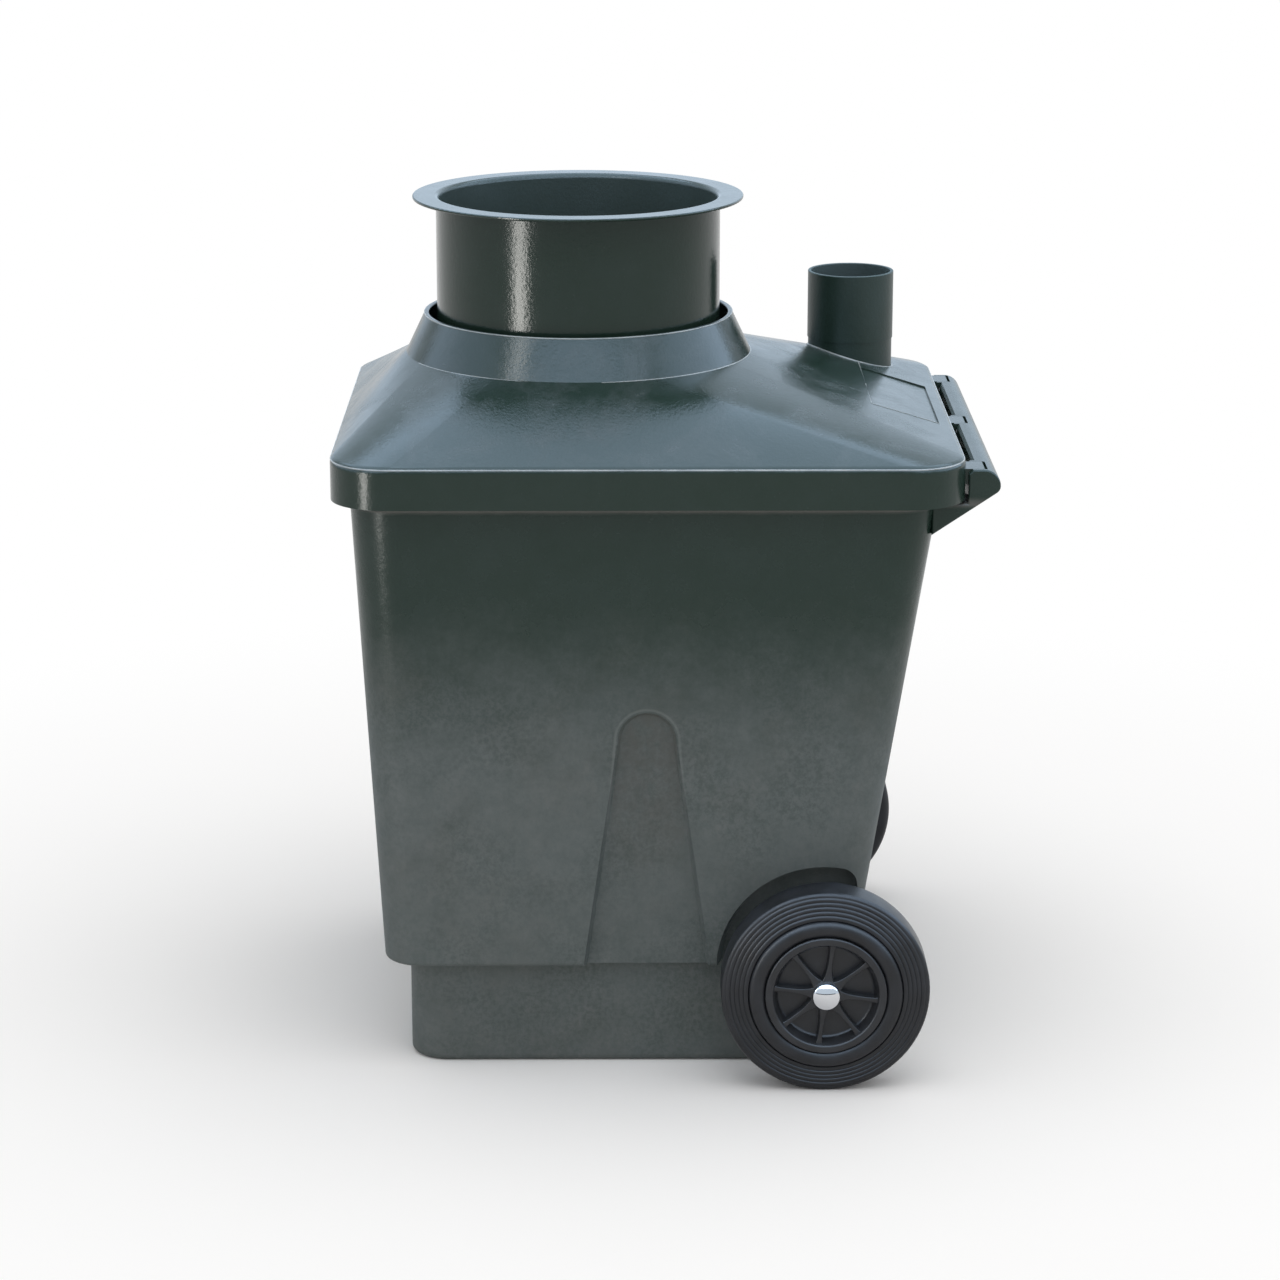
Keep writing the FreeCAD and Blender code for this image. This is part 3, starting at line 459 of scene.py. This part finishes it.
# A pale grey that paints highlights along the beads on the lid's edges.
painted_highlight_finish = grained_moulding(
    "lid_plastic", (0.22, 0.25, 0.26), (0.38, 0.41, 0.42), roughness=0.22, grain=290.0, depth=0.05)
mouldings = (tyre_finish, hub_finish, seal_finish, grate_finish, fitting_finish, painted_highlight_finish)
print("rubber and plastics:", [made.name for made in mouldings])

# %% [markdown]
# The axle caps are bright chrome, the axle and the hinge pins drawn steel. All of them lie along X, so fine
# streaks along X serve for all: noise that is stretched until its lumps are long and thin.

# %% Metals
streaks_across = 600.0
streaks_along = 12.0
streak_tone_share = 0.92
streak_dullness = 0.06


def bright_metal(name, tone, roughness):
    """Plated or drawn metal with fine streaks along X."""
    finish = new_finish(name)
    streaks = finish.noise(1.0, detail=3.0, stretch=(streaks_along, streaks_across, streaks_across))
    colour = finish.blend(streaks, tuple(value * streak_tone_share for value in tone), tone)
    return finish.surface(colour, streaks * streak_dullness + roughness, Metallic=1.0)


cap_finish = bright_metal("cap_chrome", (0.62, 0.63, 0.65), roughness=0.04)
axle_finish = bright_metal("axle_steel", (0.46, 0.46, 0.47), roughness=0.26)
pin_finish = bright_metal("pin_steel", (0.42, 0.42, 0.43), roughness=0.30)
print("metals:", cap_finish.name, axle_finish.name, pin_finish.name)

# %% [markdown]
# Most CAD nodes already have the shape of the real piece and only need a finish. Their meshes stay as they
# are, and the material is the only thing that changes.

# %% Give the CAD nodes that stay their finish
node_finishes = {
    "container": container_finish,
    "lid": lid_finish,
    "drop_tube": tube_finish,
    "vent_stub": stub_finish,
    "lid_seal": seal_finish,
    "tube_seal": seal_finish,
    "vent_seal": seal_finish,
    "drain_gasket": seal_finish,
    "hinge_pins": pin_finish,
    "axle": axle_finish,
    "drainage_grate": grate_finish,
    "drain_spigot": fitting_finish,
    "drain_locknut": fitting_finish,
    "axle_spacer_right": fitting_finish,
    "axle_spacer_left": fitting_finish,
}
for name, finish in node_finishes.items():
    nodes[name].data.materials.clear()
    nodes[name].data.materials.append(finish)
print("CAD nodes with a finish:", len(node_finishes))

# %% [markdown]
# The wheels are what the eye goes to near the floor, so they are made again with softer, finer shapes. Both
# are drawn in millimetres from the tyre's inner face outwards, and a small class turns that into places in
# the frame.


# %% Where a wheel sits
class Wheel:
    """Where one wheel sits: its centre line, its inner face and which way is out."""

    def __init__(self, side):
        low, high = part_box("tyre_" + side)
        self.side = side
        self.centre = (low + high) / 2
        self.radius = (high.z - low.z) / 2 / mm
        self.outwards = 1 if self.centre.x > 0 else -1
        self.inner = low.x if self.outwards > 0 else high.x

    def along(self, node):
        """How far a CAD node's two ends lie from the tyre's inner face, in mm."""
        ends = [(corner.x - self.inner) * self.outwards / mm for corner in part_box(node)]
        return min(ends), max(ends)

    def spot(self, out, sideways, up):
        """A point given in mm: out along the axle, sideways and up from it."""
        across = self.inner + self.outwards * out * mm
        return Vector((across, self.centre.y + sideways * mm, self.centre.z + up * mm))


wheels = [Wheel("right"), Wheel("left")]
print("wheel radii in mm:", [round(wheel.radius, 1) for wheel in wheels])

# %% [markdown]
# Anything round on an axle could be a cylinder with loop cuts. Here half a section is drawn as a closed
# outline, chosen corners of it are rounded, and it is spun round the axle, which keeps every ring true to
# one drawing. A finished shape becomes an object that rides on a body and stands for the CAD nodes that it
# replaces.

# %% Spin an outline and keep a piece
spin_steps = 128
round_steps = 5
weld = 0.01 * mm
crease = math.radians(40)


def spin_outline(shape, wheel, outline, rounded):
    """Spin a closed outline of (out, radius) pairs, after rounding some of its corners by the sizes given."""
    corners = [shape.verts.new(wheel.spot(out, 0, radius)) for out, radius in outline]
    shape.faces.new(corners)
    others = set(shape.verts) - set(corners)
    for size in set(rounded.values()):
        chosen = [corners[place] for place in rounded if rounded[place] == size]
        bmesh.ops.bevel(shape, geom=chosen, offset=size * mm, affect="VERTICES", segments=round_steps,
                        profile=0.5, material=-1)
    line = [vert for vert in shape.verts if vert not in others]
    edges = list({edge for vert in line for edge in vert.link_edges})
    faces = list({face for vert in line for face in vert.link_faces})
    bmesh.ops.delete(shape, geom=faces, context="FACES_ONLY")
    bmesh.ops.spin(shape, geom=line + edges, cent=wheel.centre, axis=(1, 0, 0), angle=full_turn,
                   steps=spin_steps, use_merge=True)


def keep_piece(name, shape, body, finish, slot, *replaced):
    """Turn a shape into an object that rides on a body and stands for CAD nodes, if any are named."""
    bmesh.ops.remove_doubles(shape, verts=shape.verts, dist=weld)
    bmesh.ops.recalc_face_normals(shape, faces=shape.faces)
    mesh = bpy.data.meshes.new(name)
    shape.to_mesh(mesh)
    shape.free()
    mesh.materials.append(finish)
    mesh.shade_smooth()
    mesh.set_sharp_from_angle(angle=crease)
    piece = bpy.data.objects.new(name, mesh)
    bpy.context.scene.collection.objects.link(piece)
    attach(piece, body)
    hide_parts(*replaced)
    print(name, "has", len(mesh.polygons), "faces")


# %% [markdown]
# The tyre is solid rubber. Its outer wall carries five fine rings, then a groove and one broad smooth ring
# beside the hub that catches the light from above. A bump could fake the rings, but drawn into the section
# they have real shadows. Each is a small arch, low where it meets the next, given as shares of the pitch
# with a depth.

# %% Tyres
ring_count = 5
ring_pitch = 5.25
ring_start = 93.4
ring_arch = ((0.0, 1.1), (0.14, 0.42), (0.32, 0.08), (0.5, 0.0), (0.68, 0.08), (0.86, 0.42))
ring_foot = 0.4
groove_depth = 2.4
smooth_ring = (73.0, 91.6)
smooth_ring_bulge = 5.0
bulge_steps = 12
bead_depth = 5.0
wall_out = 50.0
wall_lean = 6.0
tyre_rounding = {1: 9.0, 2: 5.0}


def tyre_outline(wheel):
    """The tyre's section, from the inner bead over the tread and down the outer wall."""
    tread = wheel.radius
    bead, brow = smooth_ring
    last = ring_start + ring_pitch * ring_count

    def wall(radius):
        return wall_out + wall_lean * (tread - radius) / (tread - brow)

    outline = [(0.0, bead), (0.0, tread), (wall_out, tread)]
    for ring in range(ring_count):
        for share, depth in ring_arch:
            radius = last - ring_pitch * (ring + share)
            outline.append((wall(radius) - depth, radius))
    outline.append((wall(ring_start) - ring_foot, ring_start))
    outline.append((wall(brow) - groove_depth, (ring_start + brow) / 2))
    middle = (bead + brow) / 2
    half = (brow - bead) / 2
    for step in range(bulge_steps + 1):
        angle = full_turn / 2 * step / bulge_steps
        outline.append((wall(brow) + smooth_ring_bulge * math.sin(angle), middle + half * math.cos(angle)))
    outline.append((wall(brow) - bead_depth, bead))
    return outline


for wheel in wheels:
    side = wheel.side
    shape = bmesh.new()
    spin_outline(shape, wheel, tyre_outline(wheel), tyre_rounding)
    keep_piece(side + "_tyre", shape, "wheel_" + side, tyre_finish, "tyre_rubber", "tyre_" + side)

# %% [markdown]
# The hub is one moulding: a rim, a sunk web and eight ribs that spread like trumpets where they meet the
# boss and, a little, where they meet the rim. A rib could be sculpted, but a cube that is cut along its
# length is exact: each row of points is set to the width wanted there. The top edges are then rounded, and
# a spin that makes copies sets eight of them round.

# %% Ribs
rib_count = 8
rib_turn = math.radians(7)
rib_cuts = 11
rib_root = 13.0
rib_tip = 63.5
rib_half = 2.3
rib_root_flare = 6.5
rib_root_power = 5
rib_tip_flare = 1.8
rib_tip_power = 8
rib_drop = 5.0
rib_sag = 1.5
rib_side_draft = 1.3
rib_bevel = 1.0
rib_bevel_steps = 3
web_face = 44.0
web_thickness = 6.0


def shape_rib(shape, wheel, face):
    """Set the points of a cut cube to a rib that stands upright from the boss to the rim."""
    for vert in shape.verts:
        share = (vert.co.z + 1) / 2
        root_flare = rib_root_flare * (1 - share) ** rib_root_power
        tip_flare = rib_tip_flare * share ** rib_tip_power
        half = rib_half + root_flare + tip_flare
        top = face - rib_drop - rib_sag * math.sin(share * full_turn / 2)
        if vert.co.x < 0:
            half += rib_side_draft
            top = web_face - web_thickness / 2
        vert.co = wheel.spot(top, math.copysign(half, vert.co.y), rib_root + (rib_tip - rib_root) * share)


def add_ribs(shape, wheel, face):
    """Eight ribs between boss and rim, whose tops lie a little below the wheel's face."""
    bmesh.ops.create_cube(shape, size=2.0)
    long_edges = [edge for edge in shape.edges if abs(edge.verts[0].co.z - edge.verts[1].co.z) > 1]
    bmesh.ops.subdivide_edges(shape, edges=long_edges, cuts=rib_cuts, use_grid_fill=True)
    top_edges = [edge for edge in shape.edges
                 if min(vert.co.x for vert in edge.verts) > 0
                 and edge.verts[0].co.y * edge.verts[1].co.y > 0
                 and abs(edge.verts[0].co.z - edge.verts[1].co.z) > 0]
    shape_rib(shape, wheel, face)
    bmesh.ops.bevel(shape, geom=top_edges, offset=rib_bevel * mm, affect="EDGES", segments=rib_bevel_steps,
                    profile=0.5, material=-1)
    turned = Matrix.Rotation(-rib_turn, 3, "X")
    bmesh.ops.rotate(shape, verts=shape.verts, cent=wheel.centre, matrix=turned)
    whole = shape.verts[:] + shape.edges[:] + shape.faces[:]
    bmesh.ops.spin(shape, geom=whole, cent=wheel.centre, axis=(1, 0, 0), steps=rib_count - 1,
                   angle=full_turn * (rib_count - 1) / rib_count, use_duplicate=True)


# %% [markdown]
# The rest of the hub is round, so its section is drawn from the outside of the rim over the web to the boss
# and spun in among the ribs, which reach a little way into it.

# %% Hubs
rim_inner = 63.6
rim_slope = 5.5
boss_radius = 17.5
boss_draft = 0.6
boss_drop = 5.0
bore_radius = 10.05
hub_clearance = 0.3
hub_rounding = {1: 2.2, 2: 2.2, 3: 3.5, 4: 3.0, 5: 0.8}


def hub_outline(face, outer):
    """The hub's section without ribs, from the outside of the rim inwards."""
    web_back = web_face - web_thickness
    boss_face = face - boss_drop
    return [
        (0.0, outer), (face, outer), (face, rim_inner), (web_face, rim_inner - rim_slope),
        (web_face, boss_radius), (boss_face, boss_radius - boss_draft), (boss_face, bore_radius),
        (0.0, bore_radius), (0.0, boss_radius), (web_back, boss_radius), (web_back, rim_inner),
        (0.0, rim_inner),
    ]


for wheel in wheels:
    side = wheel.side
    shape = bmesh.new()
    face = wheel.along("wheel_hub_" + side)[1]
    add_ribs(shape, wheel, face)
    spin_outline(shape, wheel, hub_outline(face, smooth_ring[0] - hub_clearance), hub_rounding)
    keep_piece(side + "_hub", shape, "wheel_" + side, hub_finish, "hub_plastic", "wheel_hub_" + side)

# %% [markdown]
# The caps are pressed from bright sheet: a short wall, a rounded shoulder and a shallow dome. The dome
# could be a flattened sphere, but an arc that ends on the axle gives it a true curve, and chrome shows
# every fault of a curve. It bends the mirror image of the sky and the floor as in the photograph.

# %% Caps
dome_rise = 5.2
dome_steps = 12
cap_wall = 1.4
cap_rounding = {2: 1.6}


def cap_outline(start, end, radius):
    """The cap's section, from the open end over the shoulder to the crown and back inside."""
    sphere = (radius ** 2 + dome_rise ** 2) / (2 * dome_rise)
    outline = [(start, radius - cap_wall), (start, radius)]
    for step in range(dome_steps + 1):
        distance = radius * (1 - step / dome_steps)
        outline.append((end - sphere + math.sqrt(sphere ** 2 - distance ** 2), distance))
    return outline + [(end - cap_wall, 0.0), (end - dome_rise - cap_wall, radius - cap_wall)]


for wheel in wheels:
    shape = bmesh.new()
    node = "axle_cap_" + wheel.side
    low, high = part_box(node)
    start, end = wheel.along(node)
    spin_outline(shape, wheel, cap_outline(start, end, (high.z - low.z) / 2 / mm), cap_rounding)
    keep_piece(wheel.side + "_cap", shape, "container", cap_finish, "cap_chrome", node)

# %% [markdown]
# The foot and lip of the collar, the foot of the pipe stub and the upper edge of the skirt all draw a light
# line in the photograph. A fine raised bead in a pale grey draws it: the pale grey is a painted highlight,
# and the bead also catches the light. Each bead is a curve with a round bevel, turned into a mesh, and rays
# put it on the lid.

# %% A bead along a path on the lid
bead_resolution = 2
bpy.context.view_layer.update()


def meet_lid(start, direction):
    """Where a ray meets the lid."""
    hit, spot, normal, face = nodes["lid"].ray_cast(start, direction)
    return spot


def add_bead(name, path, radius, closed=True):
    """A bead of this radius in mm along a path, as a bevelled curve that is turned into a mesh."""
    curve = bpy.data.curves.new(name, "CURVE")
    curve.dimensions = "3D"
    curve.bevel_depth = radius * mm
    curve.bevel_resolution = bead_resolution
    curve.use_fill_caps = True
    spline = curve.splines.new("POLY")
    spline.points.add(len(path) - 1)
    for point, place in zip(spline.points, path):
        point.co = (*place, 1)
    spline.use_cyclic_u = closed
    line = bpy.data.objects.new(name + "_line", curve)
    shape = bmesh.new()
    shape.from_mesh(bpy.data.meshes.new_from_object(line))
    bpy.data.objects.remove(line)
    # The pale grey of every bead is a painted highlight.
    keep_piece(name, shape, "lid", painted_highlight_finish, "lid_plastic")


# %% [markdown]
# The collar and the stub are round, and the roof below them is not level. A ring of rays from above, just
# outside the foot, finds how high the roof is there.

# %% Beads at the foot of the collar and of the stub
foot_radius = 1.2
ring_points = 128
above_all = 2.0
collar_foot = 0.213
stub_low, stub_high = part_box("vent_stub")
downwards = (0, 0, -1)


def foot_path(node, radius):
    """A ring on the roof, at the foot of something round that stands there."""
    low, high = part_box(node)
    middle = Vector(((low.x + high.x) / 2, (low.y + high.y) / 2, above_all))
    path = []
    for step in range(ring_points):
        angle = full_turn * step / ring_points
        out = Vector((math.cos(angle), math.sin(angle), 0))
        roof = meet_lid(middle + out * (radius + 2 * foot_radius * mm), downwards)
        path.append(Vector((middle.x + out.x * radius, middle.y + out.y * radius, roof.z)))
    return path


add_bead("collar_bead", foot_path("drop_tube", collar_foot), foot_radius)
add_bead("stub_bead", foot_path("vent_stub", (stub_high.x - stub_low.x) / 2), foot_radius)

# %% [markdown]
# The lip of the collar is level, so one ray from the side is enough to find how wide it is.

# %% Bead on the lip
lip_radius = 0.9
far_outside = 1.0


def lip_path():
    """The outer edge of the collar's lip."""
    low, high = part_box("drop_tube")
    middle = (low + high) / 2
    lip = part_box("lid")[1].z - lip_radius * mm
    edge = meet_lid((far_outside, middle.y, lip), (-1, 0, 0)).x
    angles = [full_turn * step / ring_points for step in range(ring_points)]
    return [Vector((math.cos(angle) * edge, middle.y + math.sin(angle) * edge, lip)) for angle in angles]


add_bead("lip_bead", lip_path(), lip_radius)

# %% [markdown]
# The skirt's edge is a rectangle with round corners. At each point of a corner a ray comes in from outside
# and above, and it meets the rounded edge half way. The lid's box also holds the hinge lugs behind the
# skirt, so a ray between two of them finds where the skirt itself ends.

# %% Bead on the skirt
edge_radius = 1.0
skirt_top = 0.7573
skirt_corner = 0.070
corner_points = 12
corner_sides = ((1, 1), (-1, 1), (-1, -1), (1, -1))
ray_length = 0.2
between_lugs = 0.15
below_edge = 0.02
lid_rear = meet_lid((between_lugs, far_outside, skirt_top - below_edge), (0, -1, 0)).y
print("the skirt ends at y =", round(lid_rear / mm, 1), "mm")


def skirt_path():
    """The rounded upper edge of the skirt, found by rays that come in slanting at its four corners."""
    low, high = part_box("lid")
    middle = Vector((0, (low.y + lid_rear) / 2, skirt_top))
    reach_x = high.x - skirt_corner
    reach_y = (lid_rear - low.y) / 2 - skirt_corner
    path = []
    for corner, (side_x, side_y) in enumerate(corner_sides):
        centre = middle + Vector((side_x * reach_x, side_y * reach_y, 0))
        for step in range(corner_points + 1):
            angle = full_turn / 4 * (corner + step / corner_points)
            out = Vector((math.cos(angle), math.sin(angle), 1)).normalized()
            edge = Vector((math.cos(angle), math.sin(angle), 0)) * skirt_corner
            path.append(meet_lid(centre + edge + out * ray_length, -out))
    return path


add_bead("skirt_bead", skirt_path(), edge_radius)

# %% [markdown]
# The blank panel on the rear slope is sunk into the roof along two of its edges only, where the roof is
# full enough. A fine pale bead draws the other two, from the stub across the slope and then down to the
# rear: they catch the light, and the pale grey is a painted highlight.

# %% Bead on the panel
panel_radius = 0.7
panel_half = 0.113
panel_front = lid_rear - 0.101
panel_rear = lid_rear - 0.018
panel_points = 24
stub_clearance = 3 * mm


def panel_path():
    """Points on the roof along the two edges of the panel."""
    panel_start = stub_high.x + stub_clearance
    corners = [(panel_start, panel_front), (panel_half, panel_front), (panel_half, panel_rear)]
    path = []
    for first, last in zip(corners, corners[1:]):
        for step in range(panel_points):
            share = step / (panel_points - 1)
            across = first[0] + (last[0] - first[0]) * share
            along = first[1] + (last[1] - first[1]) * share
            path.append(meet_lid((across, along, above_all), downwards))
    return path


add_bead("panel_bead", panel_path(), panel_radius, closed=False)

# %% [markdown]
# The stage is a wide pale floor under a white world. Near the object the floor is a plain matt surface that
# keeps the soft shadow. Further out it turns into plain white for the rays that show it, so that no horizon
# is seen.

# %% Floor
floor_half = 30.0
floor_fade = (0.42, 1.92)
floor_greys = ((0.945, 0.94, 0.937), (0.965, 0.96, 0.957))
white = (1, 1, 1)


def stage_plane(name, finish, half_width, half_length, place):
    """A flat rectangle for the stage."""
    shape = bmesh.new()
    spread = Matrix.Diagonal((half_width, half_length, 1, 1))
    bmesh.ops.create_grid(shape, x_segments=1, y_segments=1, size=1.0, matrix=place @ spread)
    mesh = bpy.data.meshes.new(name)
    shape.to_mesh(mesh)
    shape.free()
    mesh.materials.append(finish)
    plane = bpy.data.objects.new(name, mesh)
    bpy.context.scene.collection.objects.link(plane)
    return plane


def pale_floor():
    """A floor with a faint grain, shadowed near the object and white far away."""
    finish = new_finish("pale_floor")
    colour = finish.blend(finish.noise(scale=3.0, detail=4.0), *floor_greys)
    inputs = {"Base Color": colour, "Roughness": 0.7, "Specular IOR Level": 0.0}
    near = finish.node("ShaderNodeBsdfPrincipled", {}, inputs)
    far = finish.node("ShaderNodeEmission", {}, {"Color": white, "Strength": 1.0})
    share = finish.fade(finish.length(finish.place()), *floor_fade) * finish.seen()
    mixed = finish.node("ShaderNodeMixShader", {}, {0: share, 1: near, 2: far})
    return finish.close("ShaderNodeOutputMaterial", mixed)


floor = stage_plane("floor", pale_floor(), floor_half, floor_half, Matrix.Identity(4))
floor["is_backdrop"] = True
print("floor:", floor_half * 2, "m wide")

# %% [markdown]
# The world is white for the rays that show it, and bluish in gloss, because outdoors a glossy surface
# mirrors the sky. As a lamp it is weaker than white, and a lamp overhead makes up for that, so that there
# is a soft shadow.

# %% World
world_light = 0.71
mirrored_sky = (0.78, 0.89, 1.0)
sky = Nodes(bpy.data.worlds.new("studio"))
strength = sky.seen() * (1 - world_light) + world_light
tint = sky.blend(sky.ray("Glossy"), white, mirrored_sky)
background = sky.node("ShaderNodeBackground", {}, {"Color": tint, "Strength": strength})
bpy.context.scene.world = sky.close("ShaderNodeOutputWorld", background)
print("world as a lamp:", world_light, "of white")

# %% [markdown]
# One lamp overhead lights the object, and no gloss shows it. The others do the reverse: they are only seen
# in gloss. Wide bluish ones stand for the sky that the roof, the collar and the flange mirror, and two
# narrow ones draw the bright line down the tube and across the collar. So the level of light stays plain
# while each mirror image has its place. A lamp is given by how bright its face is, because that is what a
# glossy surface shows.

# %% Lamps
sky_blue = (0.56, 0.75, 1.0)
warm_white = (1.0, 0.98, 0.94)


def soft_lamp(name, place, aim, size, radiance, colour):
    """A rectangular lamp given by how bright its face is, and not seen by the camera."""
    width, height = size
    lamp = bpy.data.lights.new(name, "AREA")
    lamp.shape = "RECTANGLE"
    lamp.size = width
    lamp.size_y = height
    lamp.energy = radiance * math.pi * width * height
    lamp.color = colour
    thing = bpy.data.objects.new(name, lamp)
    direction = Vector(aim) - Vector(place)
    thing.matrix_world = Matrix.Translation(place) @ direction.to_track_quat("-Z", "Y").to_matrix().to_4x4()
    thing.visible_camera = False
    bpy.context.scene.collection.objects.link(thing)
    return thing


def mirrored_lamp(name, place, aim, size, radiance, colour):
    """A lamp that is only seen in gloss."""
    soft_lamp(name, place, aim, size, radiance, colour).visible_diffuse = False


overhead = soft_lamp("overhead", place=(0.5, 0.4, 3.6), aim=(0.0, 0.0, 0.0),
                     size=(3.6, 3.6), radiance=1.46, colour=white)
overhead.visible_glossy = False
mirrored_lamp("sky", place=(-0.2, 0.0, 3.6), aim=(-0.2, 0.001, 0.0),
              size=(5.0, 6.0), radiance=4.7, colour=sky_blue)
mirrored_lamp("front_sky", place=(3.4, -0.1, 2.9), aim=(0.1, -0.1, 0.85),
              size=(8.0, 1.8), radiance=6.4, colour=sky_blue)
mirrored_lamp("right_sky", place=(0.0, 3.4, 2.2), aim=(0.0, 0.0, 0.8),
              size=(5.0, 2.0), radiance=5.0, colour=sky_blue)
mirrored_lamp("left_sky", place=(0.0, -3.6, 2.2), aim=(0.0, 0.0, 0.8),
              size=(4.6, 2.0), radiance=2.6, colour=sky_blue)
mirrored_lamp("rear_sky", place=(-4.2, 0.0, 1.9), aim=(0.0, 0.0, 0.9),
              size=(7.0, 2.2), radiance=0.55, colour=sky_blue)
mirrored_lamp("high_sky", place=(-3.5, 0.0, 3.35), aim=(0.0, 0.0, 0.8),
              size=(7.0, 1.7), radiance=0.4, colour=sky_blue)
mirrored_lamp("front_strip", place=(1.25, -1.36, 0.66), aim=(0.15, -0.18, 1.05),
              size=(0.3, 0.6), radiance=20.0, colour=warm_white)
mirrored_lamp("collar_strip", place=(1.07, -1.17, 2.14), aim=(0.1, -0.15, 0.88),
              size=(0.24, 0.8), radiance=12.0, colour=warm_white)

# %% [markdown]
# Chrome mirrors the whole room, and in the photograph a thin dark horizon runs across the caps. A long low
# black wall far behind the camera draws it. It casts no shadow and only gloss shows it.

# %% Dark horizon for the chrome
horizon_distance = 12.0
horizon_half_height = 0.4
horizon_half_length = 12.0
upright = Matrix.Rotation(full_turn / 4, 4, "Y")
horizon = Matrix.Translation((horizon_distance, 0.0, horizon_half_height)) @ upright
flag = stage_plane("flag", seal_finish, horizon_half_height, horizon_half_length, horizon)
flag.visible_camera = False
flag.visible_diffuse = False
flag.visible_shadow = False
flag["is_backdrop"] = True
print("dark horizon:", 2 * horizon_half_height, "m high,", horizon_distance, "m away")

# %% [markdown]
# The photograph was taken from the wheel side, a little above the lid, and the camera stands where that
# view puts it. A level camera with a shifted lens would keep upright lines upright, but the shift would
# stay on in views from other sides. So the camera has none and looks down instead.

# %% Camera
eye_place = (4.5516, -0.0525, 1.7116)
pitch = 0.2685
yaw = 0.0053
camera = bpy.data.cameras.new("camera")
camera.sensor_width = 36.0
camera.lens = 104.78
eye = bpy.data.objects.new("camera", camera)
look = Vector((-math.cos(pitch) * math.cos(yaw), math.cos(pitch) * math.sin(yaw), -math.sin(pitch)))
eye.matrix_world = Matrix.Translation(eye_place) @ look.to_track_quat("-Z", "Y").to_matrix().to_4x4()
bpy.context.scene.collection.objects.link(eye)
bpy.context.scene.camera = eye
bpy.context.scene.view_settings.view_transform = "Standard"
print("camera looks down by", round(math.degrees(pitch), 1), "degrees")

# %% [markdown]
# Last, the dressed part is measured, and its size is printed in mm.

# %% Measure the dressed part
bpy.context.view_layer.update()
low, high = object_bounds()
print("dressed part in mm:", [round((far - near) / mm) for near, far in zip(low, high)])
